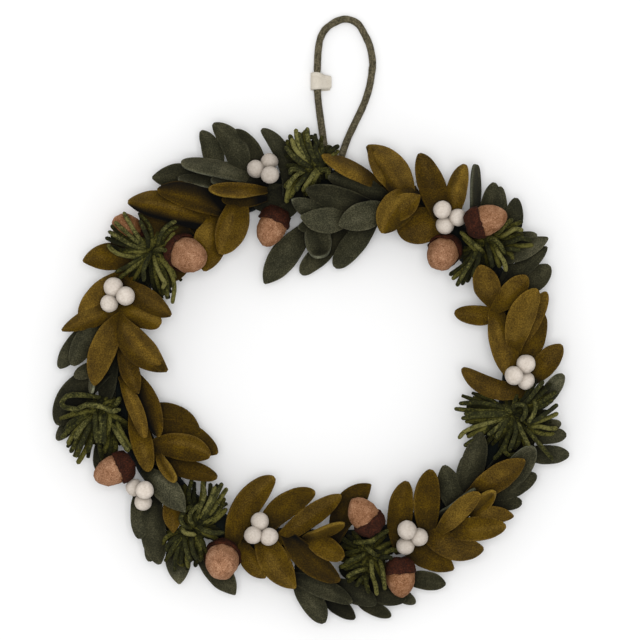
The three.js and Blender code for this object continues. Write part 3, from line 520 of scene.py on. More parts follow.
def leaf_point(row, s, v, seed):
    """Place in mm and tone, painted light and shade included, of a point of the leaf: s along it from foot to
    tip, v across it.
    """
    row += (0,) * (LEAF_NUMBERS - len(row))
    base_x, base_y, far_x, far_y, width, bow, layer, cup, point, lift, tone, painted_half_shade, fold, roll, curl = row
    length = math.hypot(far_x, far_y)
    along = Vector((far_x / length, far_y / length))
    side = Vector((-along.y, along.x))
    # how far the leaf has come up from its glued foot to its own layer, 0 to 1
    climb = min(max((s + FOOT_REACH) / FOOT_CLIMB, 0.0), 1.0)
    climb = climb * climb * (3 - 2 * climb)
    # its outline, bowed to one side and a little ragged, and turned about its length if it is rolled
    ragged = 1 + RAGGED * noise.noise(Vector((s * 6, v * 2, seed)))
    half = max(width / 2 * leaf_half(s, point), LEAST_HALF) * ragged
    swing = bow * 4 * s * (1 - s)
    turn = math.atan2(bow * 4 * (1 - 2 * s), length)
    across = side * math.cos(turn) - along * math.sin(turn)
    rolled = math.radians(roll) * climb
    spot = Vector((base_x, base_y)) + along * (length * s) + side * swing
    spot += across * (v * half * math.cos(rolled))
    # its section: pinched together at the foot, and creased along the fold further out
    pinch = half * math.tan(math.radians(FOOT_PINCH) * (1 - climb)) * (math.sqrt(v * v + 0.02) - 0.5)
    bent = half * math.tan(math.radians(CUP_STRENGTH * cup) * climb)
    bent *= math.sqrt((v - fold) ** 2 + CREASE_ROUND) - (0.5 if cup > 0 else 0.8)
    lean = v * half * math.sin(rolled) - 0.05 * half * v * v + pinch + bent
    # its height: the layer it lies in, its tip's lift and curl, and the felt's own buckling
    rise = lift * max((s - LIFT_FROM) / (1 - LIFT_FROM), 0.0) ** 1.6
    rise += curl * max((s - CURL_FROM) / (1 - CURL_FROM), 0.0) ** 2
    buckle = BUCKLE * noise.noise(Vector((spot.x / BUCKLE_SIZE, spot.y / BUCKLE_SIZE, seed))) * climb
    foot = FOOT_LAYER + FOOT_STACK * layer
    height = bed_height(spot.x, spot.y, foot + (layer - foot) * climb)
    # its tone, with painted light and shade: one half painted lighter, a painted highlight along a ridge,
    # painted shade in a trough and at the overlapped foot, and the cut edge paler, partly from its
    # fibres and partly as a painted highlight
    tone += HALF_PAINTED_SHADE * painted_half_shade * v - FOLD_PAINTED_LIGHT_AND_SHADE * cup * math.exp(-(((v - fold) / FOLD_PAINTED_WIDTH) ** 2)) * climb
    tone += EDGE_PALER_AND_HIGHLIGHT * (abs(v) > EDGE_FROM or s > TIP_FROM)
    tone -= FOOT_PAINTED_SHADE * max(1 - (s + 0.05) / FOOT_PAINTED_SHADE_LENGTH, 0)
    return (spot.x * MM, spot.y * MM, (height + lean + rise + buckle) * MM), tone


def strip_point(line, s, v, seed):
    """The same for the strip that the leaves' feet are glued on, all of it in painted shade."""
    place = (s - LEAF_ROWS[0]) / (1 - LEAF_ROWS[0]) * (len(line) - 1)
    start = min(int(place), len(line) - 2)
    way = (line[start + 1] - line[start]).normalized()
    spot = line[start].lerp(line[start + 1], place - start)
    x = spot.x - way.y * v * STRIP_HALF
    y = spot.y + way.x * v * STRIP_HALF
    return (x * MM, y * MM, bed_height(x, y, STEM_LAYER) * MM), -FOOT_PAINTED_SHADE


# the blank that every leaf is pressed from: a flat grid, x across and y along the leaf
select_only()
bpy.ops.mesh.primitive_grid_add(x_subdivisions=len(LEAF_COLUMNS) - 1, y_subdivisions=len(LEAF_ROWS) - 1,
                                size=2)
blank = bpy.context.object
blank.data.attributes.new("tone", "FLOAT", "POINT")
for vertex in blank.data.vertices:
    column = round((vertex.co.x + 1) / 2 * (len(LEAF_COLUMNS) - 1))
    line = round((vertex.co.y + 1) / 2 * (len(LEAF_ROWS) - 1))
    vertex.co = (LEAF_COLUMNS[column], LEAF_ROWS[line], 0)


def pressed(shape, row, seed):
    """A copy of the blank, given its shape and its tones, painted light and shade included."""
    made = blank.copy()
    made.data = blank.data.copy()
    bpy.context.collection.objects.link(made)
    points = [shape(row, vertex.co.y, vertex.co.x, seed) for vertex in made.data.vertices]
    for vertex, (place, tone) in zip(made.data.vertices, points):
        vertex.co = place
    made.data.attributes["tone"].data.foreach_set("value", [tone for place, tone in points])
    return made


def joined(name, pieces):
    """The pieces as one, under a name."""
    select_only(*pieces)
    bpy.ops.object.join()
    bpy.context.object.name = name
    return bpy.context.object


# thick carded wool felt, olive and mustard or moss and grey fibres felted together; the cut edge
# shows the fibres end on, so it is paler and woollier, and its paler colours are partly a painted
# highlight where the edge catches the light
felts = {
    "olive": (
        wool_material("olive_wool_felt", ["#2b1f05", "#46340a", "#654f18"], 0.9, patch=12, flecks=0.85,
                      spread=0.12),
        wool_material("olive_felt_cut_edge", ["#3f310c", "#574513", "#745e20"], 1.1, patch=8, flecks=0.9),
    ),
    "moss": (
        wool_material("moss_wool_felt", ["#212116", "#353425", "#514e3b"], 0.9, patch=12, flecks=1.0,
                      spread=0.12),
        wool_material("moss_felt_cut_edge", ["#35352a", "#4b4c3c", "#646353"], 1.1, patch=8, flecks=0.9),
    ),
}
seed = 0.0
for name, (felt, stem, leaves) in SPRIGS.items():
    pieces = []
    for row in leaves:
        seed += 1.7
        pieces.append(pressed(leaf_point, row, seed))
    strip_line = smooth_route([(x, y, 0) for x, y in stem], STRIP_STEPS)
    pieces.append(pressed(strip_point, strip_line, seed))
    sprig = joined("leaves_" + name, pieces)
    shade_smooth(sprig)
    for felt_material in felts[felt]:
        sprig.data.materials.append(felt_material)
    thickened = sprig.modifiers.new("felt", "SOLIDIFY")
    thickened.thickness = FELT_LOFT * FELT * MM
    thickened.offset = 0.0
    thickened.material_offset_rim = 1
    rounded = sprig.modifiers.new("rounded", "SUBSURF")
    rounded.levels = 1
    rounded.render_levels = 1
    for modifier in ("felt", "rounded"):
        bpy.ops.object.modifier_apply(modifier=modifier)
    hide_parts(name)
    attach(sprig, "root")
bpy.data.objects.remove(blank)

# Pom-poms: thick green wool yarn wound, tied in the middle and cut, so the strands fan out from
# the tie. Shorter strands fill the inside and the underside.
TIE_HEIGHT = 26
# how far a strand's tie, crown and end lie above that, each with its step from level to level
STRAND_RISES = [(0, 2), (5, 4), (-2, 5)]
STRAND_STEPS = 6
YARN_UNEVEN = 0.12
YARN_LUMPS = 0.45
FILLERS = 70
FILLER_STEPS = 8
FILLER_TURN = 2.39996
FILLER_LEAST = 12
FILLER_SHARES = (0.5, 0.94)
FILLER_BEND = 5
FILLER_ARCH = 12
FILLER_DROP = 3
SAME_WAY = 0.9
# painted shade on the lowest strands, rising to painted light on the top ones
PAINTED_SHADE_LOW = -0.36
PAINTED_LIGHT_HIGH = 0.5
# A pom-pom: its tie's place, its yarn's radius and tone, then its strands. A strand: how high it
# lies (0 low to 2 on top), then x and y from the tie of each point that it passes, all in mm.
POMPOMS = {
    "pompom_1": ((-119, 91), 1.705, -0.05, [
        (2, -4, 3.5, -11, 12.5, -16, 21, -20, 28), (1, -3, 3, -10, 10, -16, 17, -23, 24),
        (2, -4, 2, -12, 8, -20.5, 15.5, -26.5, 21), (1, -4, 1, -13, 6, -23, 12.5, -29.5, 18.5),
        (2, -4, 0.5, -14, 4, -23.5, 9.5, -31, 14), (1, -4, 0, -14.5, 3, -25, 6, -33.5, 9.5),
        (1, -3, 0.5, -10, 4, -19, 6.5, -29.5, 11), (1, -4, -3, -13, -4.5, -23, -3, -29, 0.5, -32, 4),
        (0, -3, -2, -12, 0, -22, 0.5, -30, 3), (2, -2, 2, -2.5, 9.5, -5.5, 17, -8, 22),
        (1, 0, 3, 0.5, 12, -2, 20, -8, 27), (0, 2, 3, 4, 9.5, 3.5, 15.5, 0, 21.5),
        (2, 5, 3, 7, 10, 10, 16, 15, 20, 19, 22), (1, 6.5, 3, 9.5, 9.5, 14, 15, 21, 18.5),
        (0, 8, 3, 12.5, 9, 18.5, 15.5, 28, 22), (1, 9, 3, 12.5, 6.5, 15.5, 11, 19, 15),
        (2, 3, 1, 9, 0.5, 15, -1.5, 20.5, -5), (2, 0.5, -1, -2.5, -7, -5, -14, -5, -22.5),
        (2, 2, -4, 4, -11.5, 8, -20, 10.5, -24, 9, -28), (1, 3.5, -4, 9.5, -9, 15, -17, 17.5, -27, 16, -39),
        (1, 3, -5, 8, -13, 12, -23, 12, -35.5), (1, 2, -5, 6, -13, 9.5, -23.5, 9, -33),
        (0, 1, -4, 3, -11.5, 5, -20, 7, -28), (1, -1, -2.5, -8.5, -6, -17, -11.5, -26, -16),
        (1, -2, -3, -8, -8.5, -15, -14, -23.5, -20.5), (0, -1, -4, -7, -11, -12, -16, -18, -21.5),
        (0, 0, -4, -5, -10, -9, -14.5, -13, -18), (1, 5, -4, 11, -8.5, 15.5, -14.5, 18, -20),
    ]),
    "pompom_2": ((133.5, 97), 1.76, -0.08, [
        (2, -3, -8, -8.5, -3, -14.5, 2, -20.5, 7.5), (1, -6, -11, -9.5, -5.5, -15, 0, -18.5, 4),
        (1, -9, -3, -12.5, -10, -19.5, -17.5, -28.5, -24),
        (1, -8.5, -4, -12, -11.5, -18.5, -20, -26.5, -27),
        (2, -7.5, -4, -11.5, -12, -17.5, -21, -23.5, -32), (1, -6.5, -5, -9.5, -13, -15, -22, -19.5, -31),
        (0, -6, -5.5, -8.5, -14, -12.5, -22, -15.5, -29), (2, -6.5, -5.5, -7.5, -11.5, -9, -17.5, -12, -25),
        (2, -1.5, 0, 0, -5.5, 1.5, -11.5, 3, -18), (1, 1.5, 0, 4.5, -7, 6.5, -13, 8.5, -18),
        (2, 5.5, -2.5, 7.5, -8, 11.5, -14.5, 13, -21), (2, -3, 3, 3, 3, 7.5, -0.5, 12, -8),
        (1, -0.5, 2, 3.5, 0, 6.5, -6, 9, -11.5), (0, -3, -1, -2.5, -7, -1.5, -13, 0.5, -19),
        (2, 4.5, 5, 9.5, 9.5, 13.5, 14, 17.5, 17), (1, 6, 5, 12, 10, 18.5, 13, 25, 15.5),
        (2, 8.5, 3.5, 14.5, 7, 19.5, 10, 25, 9), (1, 10.5, 2, 15.5, 3.5, 21, 5, 25.5, 6),
        (2, 11.5, 0, 17.5, 0.5, 23.5, 3, 31.5, 2), (1, 12, -2.5, 18.5, -2.5, 25.5, -2.5, 33, -2),
        (2, 12, -4.5, 17.5, -5, 23.5, -6), (1, 13.5, -7, 16.5, -8.5, 18.5, -12),
        (0, 7.5, -1, 14.5, -6, 21, -11, 27, -11.5), (0, 3, 2, 11.5, 5, 19.5, 7, 27, 4),
    ]),
    "pompom_3": ((151.5, -31), 1.76, 0.03, [
        (1, -3, 2, -12.5, 6, -25.5, 8, -39, 7.5), (1, -3, 1, -12.5, 2, -27.5, 2, -42.5, 3.5),
        (2, -3, -0.5, -13.5, -1, -25.5, -1.5, -37.5, -3.5), (1, -3, -2, -12.5, -4, -24, -5, -34.5, -6),
        (2, -3.5, 0, -14.5, 0.5, -25.5, 0, -35.5, 0), (0, -3.5, 2.5, -12.5, 4, -22.5, 5.5, -33, 6),
        (2, -4.5, -3.5, -16.5, -6.5, -28.5, -10, -36, -13.5, -40, -18),
        (1, -9, -8, -19.5, -12.5, -27.5, -18.5, -35.5, -24),
        (1, -6, -6, -16.5, -9, -24.5, -12.5, -33, -17.5), (2, -3, -3, -6.5, -8, -9.5, -13, -12.5, -18),
        (2, -3.5, -3, -9, -8, -13.5, -12, -18, -15.5), (1, -5.5, -3, -12, -6.5, -18, -10, -24, -12.5),
        (1, 0, -3.5, -0.5, -11, -4.5, -20, -9, -29, -13.5, -34),
        (2, 1.5, -5, 2.5, -12.5, 0, -21, -2.5, -27.5), (1, 3, -6, 5.5, -13, 4.5, -21, 1.5, -26),
        (1, -0.5, -8, -3.5, -18, -6, -27, -2.5, -31, 3, -30.5),
        (2, 3.5, -5, 6.5, -12.5, 9.5, -19, 12.5, -25), (1, 6, -8, 13.5, -15, 21.5, -24.5, 30, -34),
        (2, 9, -6, 16.5, -5, 24.5, 0, 33, 6.5), (1, 10.5, -8, 18.5, -6, 27, -3, 33.5, 0),
        (1, 12, -10, 19.5, -9.5, 27, -11, 33, -11), (0, 10.5, -11, 18, -14, 25.5, -15.5, 33, -15),
        (1, 3.5, 4, 9, 11.5, 14.5, 19, 17.5, 25), (2, 6, 5, 12.5, 11.5, 18.5, 19, 22.5, 24),
        (1, 8.5, 5.5, 15.5, 10, 22.5, 16, 28.5, 22), (1, 10.5, 3, 18.5, 7, 26.5, 12, 32.5, 16),
        (2, 15.5, 12, 17, 5.5, 15.5, -0.5, 12, -6), (2, -0.5, 2.5, 2.5, 6.5, 8.5, 6, 9.5, 0, 6.5, -5),
        (1, 5.5, 1, 13.5, 2.5, 22.5, 6, 30, 10),
    ]),
    "pompom_4": ((44, -137), 1.76, -0.22, [
        (2, -2, 7, 3, 11, 8.5, 15.5, 14, 18.5), (2, -11, 10, -5, 10, 1, 11, 7, 14),
        (2, -3, 7, 1, 3.5, 5.5, 0), (1, 5.5, -2, 11.5, 1, 17, 4, 22, 3), (2, 8, -2, 13, -1, 17, -2),
        (2, -1, 2, -7, -1, -12.5, -3, -17, -5), (1, -3, -1, -9.5, -4, -16, -7, -21.5, -9),
        (2, -0.5, -10, -6.5, -11, -12, -13, -16, -16), (1, -0.5, -15, -6, -18, -9, -23),
        (2, 2, -2.5, 2, -9, 3, -17), (2, 8, -2.5, 10, -10, 11, -17.5, 12, -25),
        (1, -1, -13, -2, -20, 0, -28), (2, 2.5, -14.5, 5, -22, 6, -29), (0, -5, 5, -12.5, 8, -20, 12.5),
        (1, -5, 3, -11, 3, -18, 0.5), (0, 6, -4, 13, -8.5, 17, -14.5), (1, -3, -5.5, -10, -8, -18, -10),
        (0, -6.5, -13, -12.5, -18, -16, -21),
    ]),
    "pompom_5": ((-88, -117), 1.815, -0.05, [
        (2, -0.5, -0.5, -6, 2, -8.5, 7.5, -6, 13, -0.5, 17), (2, 1, 2, -2, 7.5, -0.5, 13, 5, 18),
        (1, 2.5, 3, 2, 8, 5, 14, 10, 19.5), (1, 2.5, 5, 5, 13, 7, 22.5, 8, 36),
        (1, 5.5, 7, 10, 15, 13, 23, 13.5, 33), (2, 7, 7, 12, 15, 17.5, 24, 22, 33.5),
        (1, 9, 7, 15, 13.5, 20.5, 22, 25.5, 29.5), (2, 6, 8, 11, 16.5, 14.5, 24, 17, 31),
        (2, 3, 9, 6, 16.5, 9, 24, 8.5, 31.5), (1, 0, 7.5, -1, 15, -3, 25, -0.5, 36),
        (0, -1, 7.5, -3.5, 15, -5, 24, -6, 32), (0, 10, 4.5, 16, 8, 20.5, 14, 23.5, 22),
        (0, 8.5, 3, 15, 5, 21, 10, 25, 14), (2, 4, 1.5, 10, -1.5, 16, -3, 23, -3),
        (2, -9, 1, -5, -3, 2, -4.5), (1, -6.5, -4.5, -12, -10, -15.5, -16, -17.5, -21),
        (1, -5, -5, -9.5, -13, -12.5, -22, -13.5, -32), (1, -3.5, -6, -6.5, -13.5, -8, -21, -9, -26),
        (2, -6.5, -5, -5, -13, -3.5, -18, -1, -24), (2, -0.5, -5, -0.5, -12, 1, -18, 3.5, -22.5),
        (1, 2.5, -4.5, 5, -11, 6, -18, 6, -24), (0, 1, -6, 2.5, -13.5, 3, -22, 2, -28.5),
        (1, -2, -6, -3, -15, -4, -23, -3, -29), (1, -7, -4, -13, -7.5, -18, -12, -19.5, -16.5),
        (0, -8, -2, -15, -4, -20, -7.5, -23, -13.5), (0, -4, -6, -8, -15, -11, -24, -6.5, -28.5),
    ]),
    "pompom_6": ((-159, -28.5), 1.98, -0.03, [
        (2, 2, 9.5, -7.5, 11, -16.5, 11.5, -22.5, 10.5, -26, 6.5, -25, 3, -20, 1.5, -14, 1),
        (2, -19.5, -2, -13.5, 1.5, -7.5, 4, 0, 3.5, 6, 1.5, 11, -0.5, 16.5, 0.5),
        (1, -4.5, -3, -12, -7.5, -20, -13.5, -26.5, -20.5), (1, -4, -3.5, -11, -10.5, -18, -18, -22, -25),
        (2, -4.5, -5.5, -10, -10.5, -14, -16.5, -16.5, -21), (1, -3, -4.5, -9, -13.5, -15, -22.5, -20, -31),
        (1, -2, -4.5, -7.5, -15, -12, -25.5, -16, -34.5), (0, -1.5, -5.5, -4.5, -18, -9, -29.5, -15, -39.5),
        (2, -3, -7.5, -7.5, -15.5, -11, -23.5, -13.5, -27.5),
        (1, -1.5, -7.5, -4, -17.5, -5, -24.5, -7, -30.5), (1, -6, -3, -13.5, -5.5, -19.5, -9, -24, -15),
        (2, -1.5, -0.5, -1.5, -9, -1, -16.5, 0, -23.5), (2, 2, -1.5, 3, -9, 2.5, -16.5, 2, -23.5),
        (2, 6, -1.5, 5, -9, 5, -16.5, 5, -24.5), (1, 8, -1.5, 9, -7.5, 8, -14.5, 6, -20.5),
        (2, 11, -10.5, 15, -17.5, 19.5, -24.5, 23, -30), (1, 14, -8.5, 17, -15, 21, -22.5, 24.5, -28.5),
        (0, 8, -15, 7.5, -23.5, 5, -31.5), (0, 10, -16.5, 10, -26.5, 9, -35),
        (0, 11, -18, 13.5, -26.5, 12, -33), (1, 10.5, 1.5, 14, 4.5, 16.5, 9),
    ]),
    "pompom_7": ((3, 153), 1.925, 0.06, [
        (2, -3, 2, -8, 10, -12, 19, -13.5, 28), (2, 0, 3, -2, 12, -4.5, 21, -5, 29),
        (1, -1.5, 3, -6, 12, -8, 19.5, -8, 26), (1, -4.5, 2, -10, 10, -15, 16.5, -18, 24),
        (1, -5, 1.5, -11, 7, -16.5, 13.5, -20, 20), (2, 7.5, 1.5, 4, 7.5, 1, 13.5, 2, 19, 0, 22, -2.5, 23),
        (2, 4, 1.5, -1, 9, -4, 16, -4.5, 22.5), (0, 6, 6, 10, 10.5, 13.5, 13.5, 18, 16.5),
        (1, 4.5, 4, 4, 10, 4.5, 14), (2, -2, 0, -9, 4, -15.5, 9),
        (1, -4, -1.5, -10, 0, -16, 1.5, -20.5, 1.5), (2, -6, -3, -11, -1.5, -16.5, -1.5, -18, -4.5),
        (2, -4, -4, -8, -9, -12, -14, -13, -17), (2, 1.5, -1.5, -2, -7.5, -6, -13.5, -8, -17),
        (1, 4, -2, 1, -7.5, -2, -12), (1, 5, -1, 10.5, -2, 10, -7.5),
        (1, -8, -7.5, -16.5, -13, -19.5, -19, -20.5, -25.5), (1, -13, -7.5, -18, -10.5, -21.5, -14),
        (0, -1.5, 4.5, -6, 13.5, -10.5, 20, -11, 25), (0, -6, 0, -13, 4, -18, 7.5, -22, 10.5),
        (2, -2, 2, -6, 10, -9.5, 18, -11, 25.5), (1, -1, 3, -4, 11, -6.5, 19, -6.5, 27.5),
        (2, -3, 2, -9, 8, -14, 14, -16.5, 21), (2, -5, 0, -12, 5, -17, 10, -21, 15),
        (1, 3, 3, 5, 9, 6, 14, 5, 18), (2, -6, -2, -12, -5, -17, -10, -20, -16),
        (1, -4, -4, -10, -10, -15, -17, -18, -22), (1, 2, -3, 0, -9, -3, -15, -5, -20),
    ]),
}


def yarn_strand(tie_x, tie_y, radius, level, *spots):
    """A strand's line over the points from the tie to its blunt cut end, a little uneven."""
    places = [(tie_x + x, tie_y + y, 0) for x, y in zip(spots[::2], spots[1::2])]
    line = smooth_route(places, STRAND_STEPS)
    tie, crown, end = (TIE_HEIGHT + rise + step * level for rise, step in STRAND_RISES)
    end += dice.uniform(-1, 1)
    made = []
    for i, spot in enumerate(line):
        t = i / (len(line) - 1)
        spot.z = tie * (1 - t) ** 2 + crown * 2 * t * (1 - t) + end * t * t
        thick = 1 + YARN_UNEVEN * noise.noise(spot * YARN_LUMPS)
        made.append((spot * MM, thick * min(1.0, 0.85 + 2 * (1 - t), 0.7 + 2 * t)))
    last_way = (made[-1][0] - made[-3][0]).normalized()
    made.append((made[-1][0] + last_way * radius / 2 * MM, 0.4))
    return made


def strands_reach(strands, angle):
    """How far in mm the strands that point about the same way reach from the tie, or 0."""
    near = [(x, y) for *_, x, y in strands if math.cos(angle - math.atan2(y, x)) > SAME_WAY]
    return max((math.hypot(x, y) for x, y in near), default=0)


def filler_strand(number, tie_x, tie_y, strands):
    """The line of a shorter strand inside the pom-pom, arched over others or lying flat."""
    angle = number * FILLER_TURN
    reach = max(strands_reach(strands, angle), FILLER_LEAST) * dice.uniform(*FILLER_SHARES)
    bend = dice.uniform(-FILLER_BEND, FILLER_BEND)
    made = []
    for step in range(FILLER_STEPS + 1):
        t = step / FILLER_STEPS
        x = tie_x + math.cos(angle) * reach * t - math.sin(angle) * bend * t * (1 - t)
        y = tie_y + math.sin(angle) * reach * t + math.cos(angle) * bend * t * (1 - t)
        z = TIE_HEIGHT - 1 + FILLER_ARCH * t * (1 - t) * (number % 3) - FILLER_DROP * t * t
        made.append((Vector((x, y, z)) * MM, 1 - 0.3 * t ** 6))
    return made


# loosely spun two-tone wool yarn, its strands each a little lighter or darker
yarn = wool_material("spun_wool_yarn", ["#191a0b", "#343416", "#6a6638"], 1.3, patch=5, flecks=0.9,
                     spread=0.35, bump=0.6)
dice = random.Random(7)
for name, ((tie_x, tie_y), radius, tone, strands) in POMPOMS.items():
    lines = [yarn_strand(tie_x, tie_y, radius, *strand) for strand in strands]
    lines += [filler_strand(number, tie_x, tie_y, strands) for number in range(FILLERS)]
    pompom = round_strands("yarn_" + name, lines, radius * MM, 2)
    levels = [vertex.co.z / MM for vertex in pompom.data.vertices]
    low = min(levels)
    high = max(levels)
    # painted light and shade: each point's tone goes from dark low down to light on top, by its height
    pompom.data.attributes.new("tone", "FLOAT", "POINT").data.foreach_set("value", [
        PAINTED_LIGHT_HIGH * ((level - low) / (high - low)) ** 1.5 + PAINTED_SHADE_LOW + tone for level in levels])
    pompom.data.materials.append(yarn)
    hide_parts(name)
    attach(pompom, "root")

# Acorns: a nut needle-felted from pinkish tan wool, seated in a cap cut and pressed from dark
# brown felt with a ragged rim.
NUT_RADIUS = 10.9
NUT_LENGTH = 27
NUT_STEPS = 32
CAP_STEPS = 36
# lumps and finer grain of the felt: their size in mm, their depth in mm, a seed
NUT_LUMPS = [(7, 1.1, 0), (2.2, 0.35, 9)]
CAP_LUMPS = [(5, 1.2, 20), (2.0, 0.9, 40)]
# A row: x, y, z of the nut's middle, its size, the tone of its wool, the way its tip points.
ACORNS = [
    (98.5, 87.5, 31, 1.08, -0.02, -0.35, -0.5, 0.8),
    (133.5, 114, 40, 1.02, -0.11, 0.95, 0.28, 0.12),
    (67.8, -156, 29, 0.97, -0.17, 0.05, -1, 0.05),
    (39.5, -105.5, 36, 1.0, -0.1, -0.6, 0.78, 0.2),
    (-66, -142.5, 33, 1.15, 0.12, -0.05, -0.5, 0.86),
    (-149, -74.5, 31, 1.02, 0.03, -0.92, -0.36, 0.15),
    (-90, 87, 36, 1.17, -0.03, 0.62, -0.3, 0.7),
    (-137, 107, 23, 1.03, 0.15, -0.65, 0.7, 0.3),
    (-29.5, 107, 22, 1.0, -0.05, -0.38, -0.9, 0.2),
]
# Outlines, each place as radius and height: the nut's are shares of its own, the cap's are in mm.
NUT_PROFILE = [(0, 0), (0.4, 0.005), (0.65, 0.05), (0.85, 0.13), (0.97, 0.26), (1, 0.4), (0.97, 0.55),
               (0.86, 0.7), (0.68, 0.83), (0.45, 0.92), (0.2, 0.98), (0, 1)]
CAP_PROFILE = [(0, -4.4), (4.6, -4.2), (8, -3), (10.4, -0.4), (11.7, 3.2), (12.1, 6), (12, 7.8), (11.4, 8.3),
               (10.9, 7.6), (10.8, 5), (9.8, 1.4), (7.4, -0.3), (0, -0.5)]


def spun_piece(name, profile, steps):
    """A closed outline of (radius, height) in mm, spun about the axis."""
    mesh = bpy.data.meshes.new(name)
    edges = [(i, i + 1) for i in range(len(profile) - 1)]
    mesh.from_pydata([(r * MM, 0, h * MM) for r, h in profile], edges, [])
    made = bpy.data.objects.new(name, mesh)
    bpy.context.collection.objects.link(made)
    select_only(made)
    bpy.ops.object.mode_set(mode="EDIT")
    bpy.ops.mesh.select_all(action="SELECT")
    bpy.ops.mesh.spin(steps=steps, angle=2 * math.pi, center=(0, 0, 0), axis=(0, 0, 1))
    bpy.ops.mesh.select_all(action="SELECT")
    bpy.ops.mesh.remove_doubles(threshold=0.01 * MM)
    bpy.ops.mesh.normals_make_consistent(inside=False)
    bpy.ops.object.mode_set(mode="OBJECT")
    shade_smooth(made)
    return made


def roughened(made, size, depth, seed):
    """Moves the surface in and out, by up to depth mm in lumps of a size in mm."""
    made.data.update()
    moves = [
        v.normal * depth * MM * noise.noise(v.co / (size * MM) + Vector((seed, 0, 0)))
        for v in made.data.vertices
    ]
    for vertex, move in zip(made.data.vertices, moves):
        vertex.co += move


def placed_copy(blank, name, at, size, way, spin):
    """A copy of the blank with its own mesh, turned and moved so that its axis points a way."""
    made = blank.copy()
    made.data = blank.data.copy()
    made.name = name
    bpy.context.collection.objects.link(made)
    turn = Vector((0, 0, 1)).rotation_difference(Vector(way).normalized()).to_matrix().to_4x4()
    turn = turn @ Matrix.Rotation(spin, 4, "Z") @ Matrix.Scale(size, 4)
    made.data.transform(Matrix.Translation(Vector(at) * MM) @ turn)
    return made


def set_tone(piece, tone):
    """Gives every point of the piece one tone."""
    values = piece.data.attributes.new("tone", "FLOAT", "POINT").data
    values.foreach_set("value", [tone] * len(values))


# loose wool stabbed solid with a barbed needle, so the nut is dimpled and its fibres swirl
nut_wool = wool_material("needle_felted_tan_wool", ["#67442e", "#91684c", "#b18a6d"], 2.0, patch=6,
                         flecks=1.1, bump=0.6, swirl=2.5)
# coarse wool felt pressed over a mould, dull and hairy
cap_wool = wool_material("dark_brown_felt", ["#1a0c07", "#2f160c", "#482415"], 1.2, patch=5, flecks=1.0,
                         bump=0.6)
nut_outline = [(r * NUT_RADIUS, (h - 0.5) * NUT_LENGTH) for r, h in NUT_PROFILE]
nut_blank = spun_piece("nut_blank", nut_outline, NUT_STEPS)
cap_blank = spun_piece("cap_blank", [(r, h - NUT_LENGTH / 2) for r, h in CAP_PROFILE], CAP_STEPS)
for number, (x, y, z, size, tone, *way) in enumerate(ACORNS, 1):
    for part, shape, spin, lumps, wool, part_tone, slot in (
            ("nut", nut_blank, 1.1, NUT_LUMPS, nut_wool, tone, "felt_tan"),
            ("cap", cap_blank, 2.3, CAP_LUMPS, cap_wool, 0.0, "felt_brown")):
        piece = placed_copy(shape, f"felted_{part}_{number}", (x, y, z), size, way, number * spin)
        for lump_size, depth, lump_seed in lumps:
            roughened(piece, lump_size, depth, number + lump_seed)
        piece.data.materials.append(wool)
        set_tone(piece, part_tone)
        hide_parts(f"acorn_{part}_{number}")
        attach(piece, "root")
bpy.data.objects.remove(nut_blank)
bpy.data.objects.remove(cap_blank)

# Berries: 13 mm balls of off-white wool, felted hard and glued in threes. A row: the tone of the
# bunch's wool, then its balls, each as x, y, radius, the layer that it sits on, extra height.
BALL_SEAT = 0.6
BALL_LUMPS = (9, 0.5)
BALL_GRAIN = (2.5, 0.18)
BERRIES = [
    (0.12, [(99, 121.5, 6.8, 2, 1), (110.5, 115.5, 6.6, 2, 0), (101, 110, 6.7, 1, -1)]),
    (0.1, [(161.5, 6, 7.1, 1, 2), (152.5, -2.5, 7.1, 2, 1), (161.5, -6.5, 6.8, 1, -1)]),
    (-0.03, [(72.5, -118, 7.2, 2, 1), (81.5, -123.5, 6.9, 1, 0), (71.5, -130, 6.8, 1, -1)]),
    (0.02, [(-37.5, -112, 6.9, 1, 0), (-42.5, -122, 6.8, 1, 1), (-30.5, -123, 6.8, 1, 1)]),
    (0.2, [(-123.5, -88, 6.8, 2, 3), (-125, -97, 6.6, 1, 0), (-131.5, -86.5, 6.6, 1, 0)]),
    (0.1, [(-147, 63.5, 7.2, 2, 1), (-138, 57, 7.1, 2, 3), (-150, 51.5, 6.8, 2, 1)]),
    (-0.16, [(-40.5, 152, 6.7, 1, 1), (-30.5, 157.5, 6.6, 1, 0), (-30, 147.5, 6.7, 2, 1)]),
]
# fine wool rolled in soapy water until it is hard and nearly smooth
berry_wool = wool_material("off_white_felted_wool", ["#aea497", "#c0b6ab", "#cdc4b9"], 1.6, patch=6,
                           flecks=0.6, bump=0.2)
for number, (tone, rows) in enumerate(BERRIES, 1):
    balls = []
    for x, y, radius, layer, extra in rows:
        height = bed_height(x, y, layer) + FELT / 2 + radius * BALL_SEAT + extra
        select_only()
        bpy.ops.mesh.primitive_ico_sphere_add(subdivisions=4, radius=radius * MM)
        ball = bpy.context.object
        roughened(ball, *BALL_LUMPS, x)
        roughened(ball, *BALL_GRAIN, y)
        ball.data.transform(Matrix.Translation(Vector((x, y, height)) * MM))
        shade_smooth(ball)
        balls.append(ball)
    bunch = joined(f"berries_{number}", balls)
    bunch.data.materials.append(berry_wool)
    set_tone(bunch, tone)
    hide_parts(f"berry_bunch_{number}")
    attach(bunch, "root")

# Depths: low down between the pieces the wool looks darker, because little light reaches it. Each
# point's tone is lowered by how high the pieces round it rise above it, seen in sixteen directions.
CELL = 1.5
CELLS = 290
WAYS = 16
REACH = [2.2, 3.5, 5.5, 8, 12, 17, 23]
LEAST_RISE = 0.7
DEPTH_SHADE = 0.97
SIDE_SHARE = 0.4
woollen = [one for one in bpy.data.objects if one.type == "MESH" and one.name.startswith(
    ("leaves_", "yarn_", "felted_nut", "felted_cap", "berries_", "covered_ring"))]


